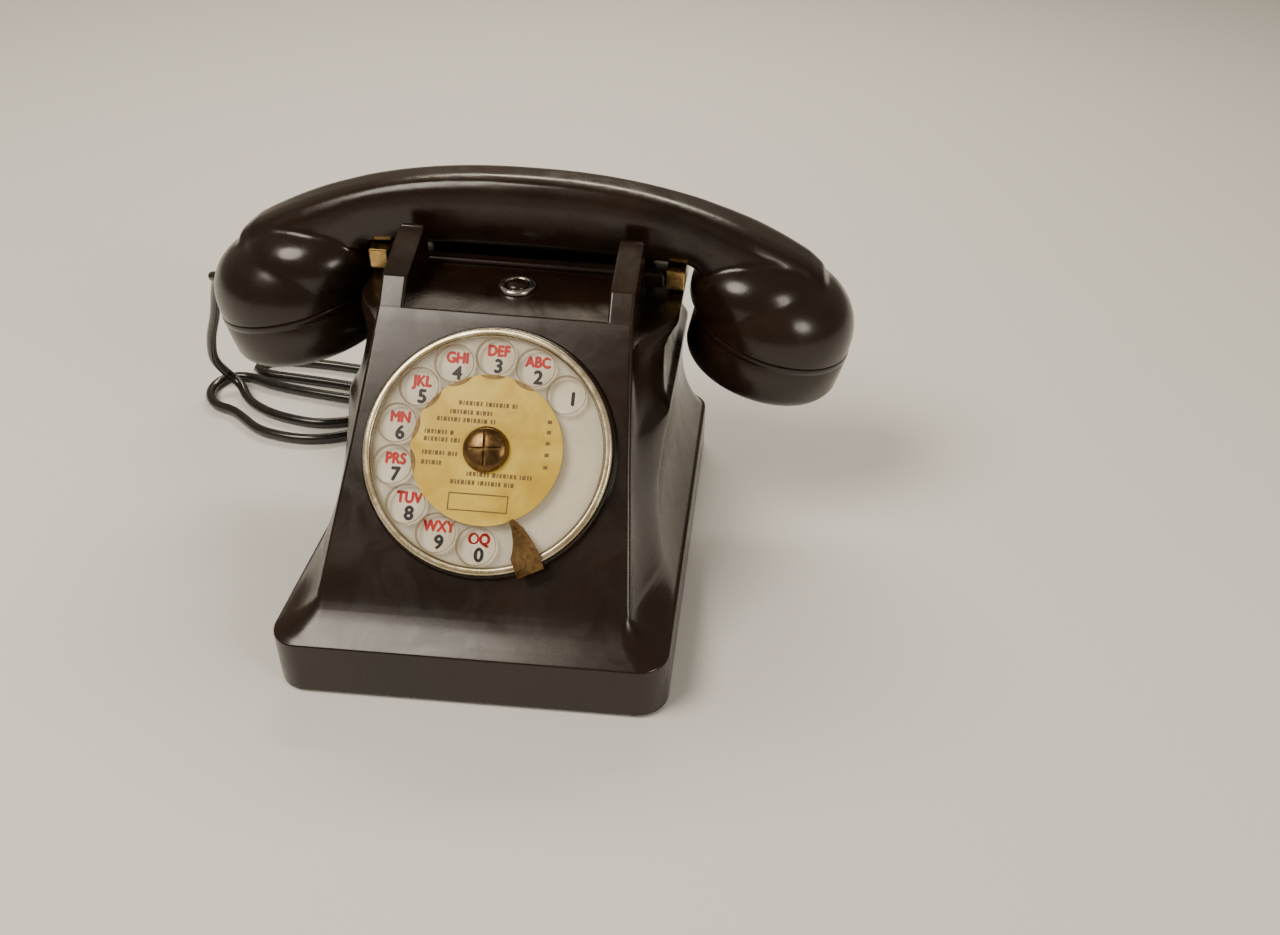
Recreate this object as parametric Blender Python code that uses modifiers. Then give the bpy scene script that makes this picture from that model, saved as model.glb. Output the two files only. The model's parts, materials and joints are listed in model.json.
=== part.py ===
"""Rotary-dial desk telephone: a moulded casing with a sloping face, a handset across its cradle and a cord.

Metres, +Z up. Every piece hangs under one empty whose local frame starts at the middle of the front bottom
edge: X to the right, Y towards the back, Z up. The empty puts the middle of the footprint at the world origin.
"""

import math

import bmesh
import bpy
from mathutils import Matrix, Vector

MM = 0.001
GAP = 0.3 * MM

# Casing: overall sizes, the sloping face and the cradle
BASE_WIDTH = 128 * MM
BASE_DEPTH = 164 * MM
BAND_HEIGHT = 21 * MM
BAND_CORNER = 10 * MM
FOOT_LIFT = 0.8 * MM
WALL = 3.2 * MM
BAND_WALL = 4.0 * MM
FACE_ANGLE = math.radians(47)
DECK_HEIGHT = 100.7 * MM
DECK_FRONT = 79.3 * MM
DECK_BACK = 112.9 * MM
DECK_HALF_WIDTH = 42.6 * MM
FACE_HALF_WIDTH_LOW = 49.6 * MM
COVE_TOP = 31 * MM
SHELF_HEIGHT = 93.7 * MM
FLANGE_HALF_WIDTH = 56.0 * MM
REAR_DECK_FRONT = 143.1 * MM
REAR_TOP = 155 * MM
HORN_THICKNESS = 8.6 * MM
HORN_HEIGHT = 15.2 * MM

# Dial: radii about its axis, and heights above its rim plane
DIAL_FORWARD = 45.1 * MM
DIAL_UP = 69.8 * MM
DIAL_HOLE_RADIUS = 38.2 * MM
COLLAR_RADIUS = 41.4 * MM
BEZEL_RADIUS = 40.3 * MM
NUMBER_PLATE_RADIUS = 37.9 * MM
WHEEL_RADIUS = 37.7 * MM
WHEEL_THICKNESS = 2.0 * MM
FINGER_CIRCLE = 30.9 * MM
FINGER_HOLE_RADIUS = 6.1 * MM
FINGER_HOLES = 10
FIRST_HOLE_ANGLE = math.radians(40)
HOLE_SPACING = math.radians(25.5)
CARD_RADIUS = 24.6 * MM
HUB_RADIUS = 7.5 * MM
DIAL_SHAFT_RADIUS = 2.5 * MM
STOP_ANGLE = math.radians(-64)

# Dial mechanism: tooth counts and modules give the centre distances
MAIN_TEETH, PULSE_TEETH, MAIN_MODULE = 36, 9, 1.0 * MM
WHEEL_TEETH, GOVERNOR_TEETH, FAST_MODULE = 32, 8, 0.625 * MM
PULSE_SHAFT_RADIUS = 1.2 * MM
GOVERNOR_SHAFT_RADIUS = 0.8 * MM
MECHANISM_RADIUS = 37.8 * MM

# Button, hook switch and bell
BUTTON_BACK = 98.4 * MM
BUTTON_RADIUS = 4.0 * MM
BUTTON_RING_RADIUS = 6.5 * MM
BUTTON_TRAVEL = 2.5 * MM
BAR_FRONT = 114.0 * MM
BAR_SIZE = 5.4 * MM
HOOK_TOP = 103.2 * MM
HOOK_END_HEIGHT = 7.2 * MM
HOOK_END_INNER = 49.8 * MM
HOOK_END_OUTER = 56.6 * MM
PLUNGER_OFFSET = 22 * MM
PLUNGER_RADIUS = 2.0 * MM
GONG_RADIUS = 22 * MM
GONG_OFFSET = 28.5 * MM
GONG_BACK = 118 * MM

# Handset
CUP_OFFSET = 89.5 * MM
CUP_HEIGHT = 78 * MM
CUP_TILT = math.radians(13.5)
CUP_RADIUS = 30 * MM
DOME_HEIGHT = 25 * MM
SHOULDER_OFFSET = 82.5 * MM
SHOULDER_LEVEL = 90 * MM
SHOULDER_RADIUS = 25 * MM
SHOULDER_HEIGHT = 18 * MM
CAP_HEIGHT = 20 * MM
CAPSULE_RADIUS = 25 * MM
HANDSET_BACK = 128 * MM
HANDLE_TOP = 131 * MM
HANDLE_DROP = 27.5 * MM
HANDLE_REACH = 106 * MM
HANDLE_CURVE = 2.3
HANDLE_WIDTH = 21 * MM
GRIP_FLOOR = 105.2 * MM
GRIP_FLOOR_DROP = 1.7 * MM

# Cord
CORD_RADIUS = 2.0 * MM
CORD_STEP = 12.4 * MM
GLAND_OFFSET = 36 * MM
GLAND_HEIGHT = 12 * MM
GLAND_RADIUS = 4.2 * MM


def clear_scene():
    for obj in list(bpy.data.objects):
        bpy.data.objects.remove(obj, do_unlink=True)


def make_collection(name):
    collection = bpy.data.collections.new(name)
    bpy.context.scene.collection.children.link(collection)
    return collection


def make_material(name, colour, roughness, metallic=0.0, alpha=1.0):
    material = bpy.data.materials.new(name)
    material.use_nodes = True
    shader = material.node_tree.nodes["Principled BSDF"]
    shader.inputs["Base Color"].default_value = (*colour, 1.0)
    shader.inputs["Roughness"].default_value = roughness
    shader.inputs["Metallic"].default_value = metallic
    shader.inputs["Alpha"].default_value = alpha
    material.diffuse_color = (*colour, alpha)
    return material


clear_scene()
PHONE = make_collection("desk_telephone")
CUTTERS = make_collection("cutters")

BAKELITE = make_material("bakelite", (0.022, 0.013, 0.010), 0.22)
STEEL = make_material("steel", (0.55, 0.55, 0.53), 0.35, 1.0)
BRASS = make_material("brass", (0.62, 0.45, 0.20), 0.30, 1.0)
NICKEL = make_material("nickel", (0.70, 0.68, 0.62), 0.20, 1.0)
RUBBER = make_material("rubber", (0.02, 0.02, 0.02), 0.80)
ENAMEL = make_material("enamel", (0.85, 0.80, 0.62), 0.25)
CLEAR = make_material("clear_plastic", (0.95, 0.93, 0.85), 0.05, 0.0, 0.25)
PAPER = make_material("paper", (0.80, 0.66, 0.28), 0.60)
COPPER = make_material("copper_winding", (0.45, 0.18, 0.08), 0.40, 0.6)
CARD = make_material("insulating_board", (0.35, 0.22, 0.12), 0.70)


def make_empty(name, location, rotation=(0, 0, 0), parent=None):
    empty = bpy.data.objects.new(name, None)
    PHONE.objects.link(empty)
    empty.location = location
    empty.rotation_euler = rotation
    empty.parent = parent
    empty.empty_display_size = 5 * MM
    return empty


FRAME = make_empty("front_bottom_middle", (0, -BASE_DEPTH / 2, 0))
DIAL_AXIS = make_empty("dial_axis", (0, DIAL_FORWARD, DIAL_UP), (FACE_ANGLE, 0, 0), FRAME)
HANDSET_FRAME = make_empty("handset_frame", (0, HANDSET_BACK, 0), (0, 0, 0), FRAME)
MOUTH_AXIS = make_empty("mouth_axis", (-CUP_OFFSET, 0, CUP_HEIGHT), (0, -CUP_TILT, 0), HANDSET_FRAME)
EAR_AXIS = make_empty("ear_axis", (CUP_OFFSET, 0, CUP_HEIGHT), (0, CUP_TILT, 0), HANDSET_FRAME)


def place(obj, material, parent=FRAME, location=(0, 0, 0), rotation=(0, 0, 0)):
    PHONE.objects.link(obj)
    obj.parent = parent
    obj.location = location
    obj.rotation_euler = rotation
    if material is not None:
        obj.data.materials.append(material)
    return obj


def as_cutter(obj):
    PHONE.objects.unlink(obj)
    CUTTERS.objects.link(obj)
    obj.hide_render = True
    obj.display_type = "WIRE"
    return obj


def mesh_object(name, bm):
    mesh = bpy.data.meshes.new(name)
    bm.to_mesh(mesh)
    bm.free()
    mesh.shade_smooth()
    mesh.set_sharp_from_angle(angle=math.radians(35))
    return bpy.data.objects.new(name, mesh)


def bevel(obj, width, segments=2):
    modifier = obj.modifiers.new("rounded_edges", "BEVEL")
    modifier.width = width
    modifier.segments = segments
    modifier.limit_method = "ANGLE"
    modifier.angle_limit = math.radians(40)
    return obj


def block(name, material, low, high, parent=FRAME, edge=0.0):
    """A box between two corners of its parent's frame."""
    bm = bmesh.new()
    bmesh.ops.create_cube(bm, size=1.0)
    size = [b - a for a, b in zip(low, high)]
    middle = [(a + b) / 2 for a, b in zip(low, high)]
    bmesh.ops.transform(bm, matrix=Matrix.Diagonal((*size, 1.0)), verts=bm.verts)
    obj = place(mesh_object(name, bm), material, parent, middle)
    return bevel(obj, edge) if edge else obj


def rod(name, material, radius, start, end, parent=FRAME, sides=20):
    """A cylinder from one point to another."""
    start, end = Vector(start), Vector(end)
    bm = bmesh.new()
    bmesh.ops.create_cone(
        bm, cap_ends=True, segments=sides, radius1=radius, radius2=radius, depth=(end - start).length
    )
    turn = (end - start).to_track_quat("Z", "Y").to_euler()
    return place(mesh_object(name, bm), material, parent, (start + end) / 2, turn)


def turned(name, material, profile, parent=FRAME, location=(0, 0, 0), rotation=(0, 0, 0), steps=40, ring=False):
    """A profile of (radius, height) turned about Z. It runs down its outer side. A ring's profile closes on itself."""
    mesh = bpy.data.meshes.new(name)
    points = [(radius, 0, height) for radius, height in profile]
    edges = [(i, i + 1) for i in range(len(points) - 1)]
    if ring:
        edges.append((len(points) - 1, 0))
    mesh.from_pydata(points, edges, [])
    obj = place(bpy.data.objects.new(name, mesh), material, parent, location, rotation)
    screw = obj.modifiers.new("turn", "SCREW")
    screw.steps = screw.render_steps = steps
    screw.use_merge_vertices = True
    screw.merge_threshold = 0.00001
    screw.use_smooth_shade = True
    return obj


def washer(name, material, outer, inner, low, high, **where):
    profile = [(inner, high), (outer, high), (outer, low), (inner, low)]
    return turned(name, material, profile, ring=True, **where)


def circle(radius, count, centre=(0, 0)):
    turns = [2 * math.pi * i / count for i in range(count)]
    return [(centre[0] + radius * math.cos(t), centre[1] + radius * math.sin(t)) for t in turns]


def flat_plate(name, material, outlines, low, high, parent=FRAME, location=(0, 0), turn=0.0):
    """A flat plate from an outer outline and the outlines of its holes."""
    curve = bpy.data.curves.new(name, "CURVE")
    curve.dimensions = "2D"
    curve.fill_mode = "BOTH"
    curve.extrude = (high - low) / 2
    for outline in outlines:
        spline = curve.splines.new("POLY")
        spline.points.add(len(outline) - 1)
        for point, (x, y) in zip(spline.points, outline):
            point.co = (x, y, 0, 1)
        spline.use_cyclic_u = True
    obj = bpy.data.objects.new(name, curve)
    return place(obj, material, parent, (*location, (low + high) / 2), (0, 0, turn))


def extruded(name, outline, low, high):
    """A closed outline of (y, z) points run along X from low to high."""
    bm = bmesh.new()
    near = [bm.verts.new((low, y, z)) for y, z in outline]
    far = [bm.verts.new((high, y, z)) for y, z in outline]
    bm.faces.new(near)
    bm.faces.new(reversed(far))
    for i in range(len(outline)):
        j = (i + 1) % len(outline)
        bm.faces.new((near[j], near[i], far[i], far[j]))
    bmesh.ops.recalc_face_normals(bm, faces=bm.faces)
    return mesh_object(name, bm)


def loft(name, rings):
    """A closed solid through rings of equally many points, with a flat end at each."""
    bm = bmesh.new()
    layers = [[bm.verts.new(point) for point in ring] for ring in rings]
    for lower, upper in zip(layers, layers[1:]):
        for i in range(len(lower)):
            j = (i + 1) % len(lower)
            bm.faces.new((lower[i], lower[j], upper[j], upper[i]))
    bm.faces.new(reversed(layers[0]))
    bm.faces.new(layers[-1])
    bmesh.ops.recalc_face_normals(bm, faces=bm.faces)
    return mesh_object(name, bm)


def boolean(obj, other, operation):
    modifier = obj.modifiers.new(f"{operation.lower()}_{other.name}", "BOOLEAN")
    modifier.operation = operation
    modifier.solver = "EXACT"
    modifier.object = other
    return obj


def cut(obj, cutter):
    return boolean(obj, as_cutter(cutter), "DIFFERENCE")


def join(obj, other):
    return boolean(obj, as_cutter(other), "UNION")


# --- casing -----------------------------------------------------------------------------------------------


def face_at(height):
    """How far back the sloping face is at a height."""
    return DECK_FRONT - (DECK_HEIGHT - height) / math.tan(FACE_ANGLE)


def arc_between(start, end, end_slope, count):
    """Points of the circular arc from start to end that reaches the end at a given slope."""
    chord = math.atan2(end[1] - start[1], end[0] - start[0])
    start_slope = 2 * chord - end_slope
    radius = math.dist(start, end) / (2 * math.sin((end_slope - start_slope) / 2))
    points = []
    for i in range(count + 1):
        slope = start_slope + (end_slope - start_slope) * i / count
        along = start[0] + radius * (math.sin(slope) - math.sin(start_slope))
        up = start[1] + radius * (math.cos(start_slope) - math.cos(slope))
        points.append((along, up))
    return points


BAND_LIP = 1.5 * MM
COVE_START = BAND_HEIGHT + 0.5 * MM
SIDE_COVE_TOP = 50 * MM
SIDE_HALF_WIDTH = 54 * MM
LEDGE_HEIGHT = 69 * MM
NECK_HALF_WIDTH = 52.3 * MM
REAR_COVE_TOP = 42 * MM
REAR_FOOT = 157 * MM


def interpolate(points, height):
    """Value at a height on a line of (value, height) points, held at its ends."""
    if height <= points[0][1]:
        return points[0][0]
    for (a, low), (b, high) in zip(points, points[1:]):
        if height <= high:
            return a + (b - a) * (height - low) / (high - low)
    return points[-1][0]


HALF_BASE = BASE_WIDTH / 2
FRONT_COVE = arc_between((BAND_LIP, COVE_START), (face_at(COVE_TOP), COVE_TOP), FACE_ANGLE, 5)
SIDE_COVE = [
    (HALF_BASE - inset, up)
    for inset, up in arc_between(
        (BAND_LIP, COVE_START), (HALF_BASE - SIDE_HALF_WIDTH, SIDE_COVE_TOP), math.radians(88), 6
    )
]
REAR_COVE = [
    (BASE_DEPTH - inset, up)
    for inset, up in arc_between(
        (BAND_LIP, COVE_START), (BASE_DEPTH - REAR_FOOT, REAR_COVE_TOP), math.radians(86), 5
    )
]
FACE_CORNER = [(HALF_BASE - BAND_LIP, COVE_START), (57 * MM, 24 * MM), (52.6 * MM, 27.5 * MM)]
FACE_CORNER += [(50.6 * MM, COVE_TOP), (FACE_HALF_WIDTH_LOW, 38 * MM), (46.2 * MM, 66 * MM)]
FACE_CORNER += [(DECK_HALF_WIDTH, DECK_HEIGHT)]
SIDE = SIDE_COVE + [(54.6 * MM, 60 * MM), (55.8 * MM, LEDGE_HEIGHT - 2 * MM), (55.6 * MM, LEDGE_HEIGHT)]
SIDE += [(53.4 * MM, 73 * MM), (NECK_HALF_WIDTH, 79 * MM), (NECK_HALF_WIDTH, 84 * MM)]
SIDE += [(54 * MM, 88 * MM), (FLANGE_HALF_WIDTH - 0.5 * MM, 90.2 * MM), (FLANGE_HALF_WIDTH, 91 * MM)]
SIDE += [(FLANGE_HALF_WIDTH, SHELF_HEIGHT)]
REAR = REAR_COVE + [(REAR_TOP, SHELF_HEIGHT)]


def smooth_step(t):
    t = min(max(t, 0.0), 1.0)
    return t * t * (3 - 2 * t)


def casing_ring(height, inset=0.0, floor=None):
    """The casing's outline at a height, as points all round it. Inset moves the walls in by their thickness."""
    slope_inset = inset / math.sin(FACE_ANGLE) if height > BAND_HEIGHT else BAND_WALL * bool(inset)
    side_inset = inset if height > BAND_HEIGHT else BAND_WALL * bool(inset)
    if height < COVE_START:
        lip = 0.0 if height <= BAND_HEIGHT else BAND_LIP * 0.5
        front, corner, side, rear = lip, HALF_BASE - lip, HALF_BASE - lip, BASE_DEPTH - lip
    else:
        front = interpolate(FRONT_COVE, height) if height < COVE_TOP else face_at(height)
        corner, side = interpolate(FACE_CORNER, height), interpolate(SIDE, height)
        rear = interpolate(REAR, height)
    front, corner, side = front + slope_inset, corner - side_inset, side - side_inset
    rear -= side_inset
    low = height <= COVE_START
    front_radius = BAND_CORNER if low else interpolate([(BAND_CORNER, COVE_START), (2 * MM, COVE_TOP)], height)
    rear_radius = BAND_CORNER
    points = []
    for i in range(4):
        turn = -math.pi / 2 + math.pi / 2 * i / 3
        x = corner - front_radius + front_radius * math.cos(turn)
        points.append((x, front + front_radius + front_radius * math.sin(turn)))
    start = front + front_radius
    run = 30 * MM
    for part in (0.2, 0.45, 0.7, 1.0):
        x = corner + (side - corner) * smooth_step(part)
        points.append((x, start + run * part))
    for i in range(4):
        turn = math.pi / 2 * i / 3
        x = side - rear_radius + rear_radius * math.cos(turn)
        points.append((x, rear - rear_radius + rear_radius * math.sin(turn)))
    mirrored = [(-x, y) for x, y in reversed(points)]
    return [(x, y, height if floor is None else floor) for x, y in points + mirrored]


def casing_levels():
    heights = {FOOT_LIFT, BAND_HEIGHT, SHELF_HEIGHT}
    heights |= {up for _, up in FRONT_COVE + SIDE_COVE[1::2] + SIDE[7:]}
    heights |= {38 * MM, 58 * MM}
    return sorted(heights)


def horn(name, side, profile):
    low, high = DECK_HALF_WIDTH - HORN_THICKNESS, DECK_HALF_WIDTH - 0.15 * MM
    if side < 0:
        low, high = -high, -low
    return place(bevel(extruded(name, profile, low, high), 0.9 * MM, 1), None)


def front_horn_profile():
    top = DECK_HEIGHT + HORN_HEIGHT
    kink = DECK_HEIGHT + 7.6 * MM
    below = DECK_HEIGHT - 5 * MM
    back, step = DECK_BACK - 0.1 * MM, 0.12 * MM
    return [
        (face_at(below) + step, below),
        (face_at(kink) + step, kink),
        (back - 3 * MM, top),
        (back - 0.8 * MM, top - 1.2 * MM),
        (back, top - 4 * MM),
        (back, below),
    ]


def rear_horn_profile():
    top = DECK_HEIGHT + HORN_HEIGHT
    below = SHELF_HEIGHT - 4 * MM
    front = REAR_DECK_FRONT
    return [
        (front, below),
        (front, top - 3 * MM),
        (front + 1.2 * MM, top - 0.6 * MM),
        (front + 3.4 * MM, top),
        (REAR_TOP - 0.8 * MM, DECK_HEIGHT + 1 * MM),
        (REAR_TOP - 0.8 * MM, below),
    ]


def deck_block(name, front, back, height):
    """The raised part of the casing between a pair of horns."""
    low = SHELF_HEIGHT - 4 * MM
    half_low = interpolate(FACE_CORNER, low)
    rings = []
    for up, half in ((low, half_low), (height, DECK_HALF_WIDTH)):
        start = face_at(up) if front is None else front
        outline = [(half, start), (half, back), (-half, back), (-half, start)]
        rings.append([(x, y, up) for x, y in outline])
    return place(loft(name, rings), None)


def casing():
    rings = [casing_ring(height) for height in casing_levels()]
    shell = place(loft("casing", rings), BAKELITE)
    join(shell, deck_block("front_deck", None, DECK_BACK, DECK_HEIGHT))
    join(shell, deck_block("rear_deck", REAR_DECK_FRONT + 0.4 * MM, REAR_TOP - 0.4 * MM, DECK_HEIGHT))
    for side, word in ((-1, "left"), (1, "right")):
        join(shell, horn(f"front_horn_{word}", side, front_horn_profile()))
        join(shell, horn(f"rear_horn_{word}", side, rear_horn_profile()))
    collar = [(0, -1.3 * MM), (COLLAR_RADIUS - 1.2 * MM, -1.3 * MM), (COLLAR_RADIUS, -2.6 * MM)]
    collar += [(COLLAR_RADIUS + 0.6 * MM, -6 * MM), (0, -6 * MM)]
    join(shell, turned("dial_collar", None, collar, DIAL_AXIS, steps=48))
    hollow_heights = [height for height in casing_levels() if height < SHELF_HEIGHT - WALL - 1 * MM]
    inner = [casing_ring(height, WALL) for height in hollow_heights]
    inner.insert(0, [(x, y, -1 * MM) for x, y, _ in casing_ring(FOOT_LIFT, WALL)])
    inner.append(casing_ring(SHELF_HEIGHT - WALL, WALL + 0.4 * MM))
    cut(shell, place(loft("casing_hollow", inner), None))
    under_deck = [(DECK_FRONT + 2 * MM, 85 * MM), (DECK_FRONT + 4 * MM, DECK_HEIGHT - WALL)]
    under_deck += [(DECK_BACK - WALL, DECK_HEIGHT - WALL), (DECK_BACK - WALL, 85 * MM)]
    half = DECK_HALF_WIDTH - WALL - HORN_THICKNESS
    cut(shell, place(extruded("deck_hollow", under_deck, -half, half), None))
    for x, y, word in screw_places():
        boss_top = 26 * MM if y < BASE_DEPTH / 2 else 46 * MM
        join(shell, rod(f"boss_{word}", None, BOSS_RADIUS, (x, y, 6.2 * MM), (x, y, boss_top)))
        cut(shell, rod(f"pilot_{word}", None, 1.5 * MM + GAP, (x, y, 5 * MM), (x, y, 17 * MM), sides=12))
    cut(shell, rod("dial_hole", None, DIAL_HOLE_RADIUS, (0, 0, -30 * MM), (0, 0, 5 * MM), DIAL_AXIS, 48))
    button_hole = BUTTON_RADIUS + 1.2 * MM
    cut(shell, rod("button_hole", None, button_hole, (0, BUTTON_BACK, 90 * MM), (0, BUTTON_BACK, 105 * MM)))
    for side, word in ((-1, "left"), (1, "right")):
        x, y = side * PLUNGER_OFFSET, BAR_FRONT + BAR_SIZE / 2
        cut(shell, rod(f"plunger_hole_{word}", None, PLUNGER_RADIUS + 0.6 * MM, (x, y, 84 * MM), (x, y, 96 * MM)))
        x = side * GLAND_OFFSET
        start, end = (x, BASE_DEPTH - 8 * MM, GLAND_HEIGHT), (x, BASE_DEPTH + 3 * MM, GLAND_HEIGHT)
        cut(shell, rod(f"gland_hole_{word}", None, GLAND_RADIUS, start, end))
    return shell


# --- base -------------------------------------------------------------------------------------------------


PLATE_LOW = 4.2 * MM
PLATE_HIGH = 5.8 * MM
SCREW_INSET_X = 14 * MM
SCREW_FRONT = 14 * MM
SCREW_REAR = 146 * MM
BOSS_RADIUS = 3.6 * MM


def screw_places():
    places = []
    for row, y in (("front", SCREW_FRONT), ("rear", SCREW_REAR)):
        for side, word in ((-1, "left"), (1, "right")):
            places.append((side * (HALF_BASE - SCREW_INSET_X), y, f"{row}_{word}"))
    return places


def foot_places():
    return [(x * 0.94, y + (9 * MM if y < BASE_DEPTH / 2 else -9 * MM), word) for x, y, word in screw_places()]


def rounded_rectangle(half_x, low_y, high_y, radius, steps=4):
    points = []
    corners = ((half_x, low_y, -90), (half_x, high_y, 0), (-half_x, high_y, 90), (-half_x, low_y, 180))
    for x, y, start in corners:
        centre_x = x - math.copysign(radius, x)
        centre_y = y + radius if y == low_y else y - radius
        for i in range(steps + 1):
            turn = math.radians(start + 90 * i / steps)
            points.append((centre_x + radius * math.cos(turn), centre_y + radius * math.sin(turn)))
    return points


def base():
    clear = BAND_WALL + 0.5 * MM
    outer = rounded_rectangle(HALF_BASE - clear, clear, BASE_DEPTH - clear, BAND_CORNER)
    holes = [circle(2.0 * MM, 12, (x, y)) for x, y, _ in screw_places()]
    flat_plate("base_plate", STEEL, [outer, *holes], PLATE_LOW, PLATE_HIGH)
    for x, y, word in screw_places():
        low = PLATE_LOW - GAP
        profile = [(0, 15 * MM), (1.5 * MM, 15 * MM), (1.5 * MM, low), (3.2 * MM, low)]
        profile += [(2.6 * MM, low - 1.6 * MM), (0, low - 1.6 * MM)]
        turned(f"base_screw_{word}", STEEL, profile, location=(x, y, 0), steps=12)
    for x, y, word in foot_places():
        low, high = 0.0, PLATE_LOW - GAP
        profile = [(0, high), (5.6 * MM, high), (6.5 * MM, 1.2 * MM), (5.9 * MM, low), (0, low)]
        turned(f"foot_{word}", RUBBER, profile, location=(x, y, 0), steps=16)


# --- dial -------------------------------------------------------------------------------------------------


def gear_outline(teeth, module, turn=0.0):
    """Involute teeth of 20 degrees pressure angle, thinned for running clearance."""
    pitch = teeth * module / 2
    base_radius = pitch * math.cos(math.radians(20))
    root, tip = pitch - 1.3 * module, pitch + 0.8 * module
    half_tooth = math.pi / teeth / 2 * 0.78
    lean = math.tan(math.radians(20)) - math.radians(20)
    flank = [(root, half_tooth + lean)]
    for radius in (pitch, tip):
        pressure = math.acos(base_radius / radius)
        flank.append((radius, half_tooth + lean - (math.tan(pressure) - pressure)))
    points = []
    for tooth in range(teeth):
        middle = 2 * math.pi * tooth / teeth + turn
        for radius, half in flank:
            points.append((radius * math.cos(middle - half), radius * math.sin(middle - half)))
        for radius, half in reversed(flank):
            points.append((radius * math.cos(middle + half), radius * math.sin(middle + half)))
    return points


PULSE_DISTANCE = (MAIN_TEETH + PULSE_TEETH) * MAIN_MODULE / 2
GOVERNOR_DISTANCE = (WHEEL_TEETH + GOVERNOR_TEETH) * FAST_MODULE / 2
PULSE_PLACE = (0.0, -PULSE_DISTANCE)
GOVERNOR_PLACE = (GOVERNOR_DISTANCE, -PULSE_DISTANCE)
FRONT_PLATE = (-9.2 * MM, -7.6 * MM)
BACK_PLATE = (-30.6 * MM, -29.2 * MM)
MAIN_LEVEL = (-14.0 * MM, -12.4 * MM)
FAST_LEVEL = (-18.2 * MM, -17.0 * MM)
CUP_LEVEL = (-27.6 * MM, -20.4 * MM)


def finger_hole_places():
    turns = [FIRST_HOLE_ANGLE + HOLE_SPACING * i for i in range(FINGER_HOLES)]
    return [(FINGER_CIRCLE * math.cos(t), FINGER_CIRCLE * math.sin(t)) for t in turns]


def dial_face():
    """The bezel, the number plate and the finger stop, which stay still."""
    inner = DIAL_HOLE_RADIUS - 0.2 * MM
    top = 0.5 * MM
    profile = [(inner, top - 0.5 * MM), (inner + 0.6 * MM, top), (BEZEL_RADIUS - 0.7 * MM, top)]
    profile += [(BEZEL_RADIUS, top - 0.8 * MM), (BEZEL_RADIUS - 0.2 * MM, -1.0 * MM), (inner, -1.0 * MM)]
    turned("dial_bezel", BRASS, profile, DIAL_AXIS, steps=48, ring=True)
    plate_low, plate_high = -2.9 * MM, -2.1 * MM
    washer("number_plate", ENAMEL, NUMBER_PLATE_RADIUS, 6 * MM, plate_low, plate_high, parent=DIAL_AXIS, steps=48)
    finger_stop()


def finger_stop():
    """A hooked blade over the wheel, with a foot outside the bezel."""
    along = Vector((math.cos(STOP_ANGLE), math.sin(STOP_ANGLE)))
    across = Vector((-along.y, along.x))
    reach = [(24.3, 0.6), (28, 2.6), (32, 3.7), (36, 4.3), (42.6, 4.4), (42.6, -4.6), (36, -4.6)]
    reach += [(34, -3.2), (31, -1.9), (27.5, -1.1), (24.5, -1.0)]
    outline = []
    for out, off in reach:
        point = along * out * MM + across * off * MM
        outline.append((point.x, point.y))
    curve = flat_plate("finger_stop_blade", None, [outline], 1.9 * MM, 2.9 * MM, DIAL_AXIS)
    blade = mesh_from_curve("finger_stop", curve, BRASS)
    foot = [(41.0, 3.9), (42.5, 3.9), (42.5, -4.1), (41.0, -4.1)]
    corners = [along * out * MM + across * off * MM for out, off in foot]
    rings = [[(p.x, p.y, level) for p in corners] for level in (-2.2 * MM, 2.4 * MM)]
    join(blade, place(loft("finger_stop_foot", rings), None, DIAL_AXIS))
    cut_ring = washer("collar_clearance", None, COLLAR_RADIUS + 0.4 * MM, 20 * MM, -4 * MM, -0.8 * MM, parent=DIAL_AXIS)
    return cut(blade, cut_ring)


def mesh_from_curve(name, obj, material):
    """A mesh object in place of a curve, so that it can be cut or joined."""
    bpy.context.view_layer.update()
    evaluated = obj.evaluated_get(bpy.context.evaluated_depsgraph_get())
    mesh = bpy.data.meshes.new_from_object(evaluated)
    bm = bmesh.new()
    bm.from_mesh(mesh)
    bmesh.ops.remove_doubles(bm, verts=bm.verts, dist=0.000001)
    bm.to_mesh(mesh)
    bm.free()
    made = bpy.data.objects.new(name, mesh)
    PHONE.objects.link(made)
    made.parent = obj.parent
    made.matrix_world = obj.matrix_world
    mesh.materials.clear()
    mesh.materials.append(material)
    bpy.data.objects.remove(obj, do_unlink=True)
    return made


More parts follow.
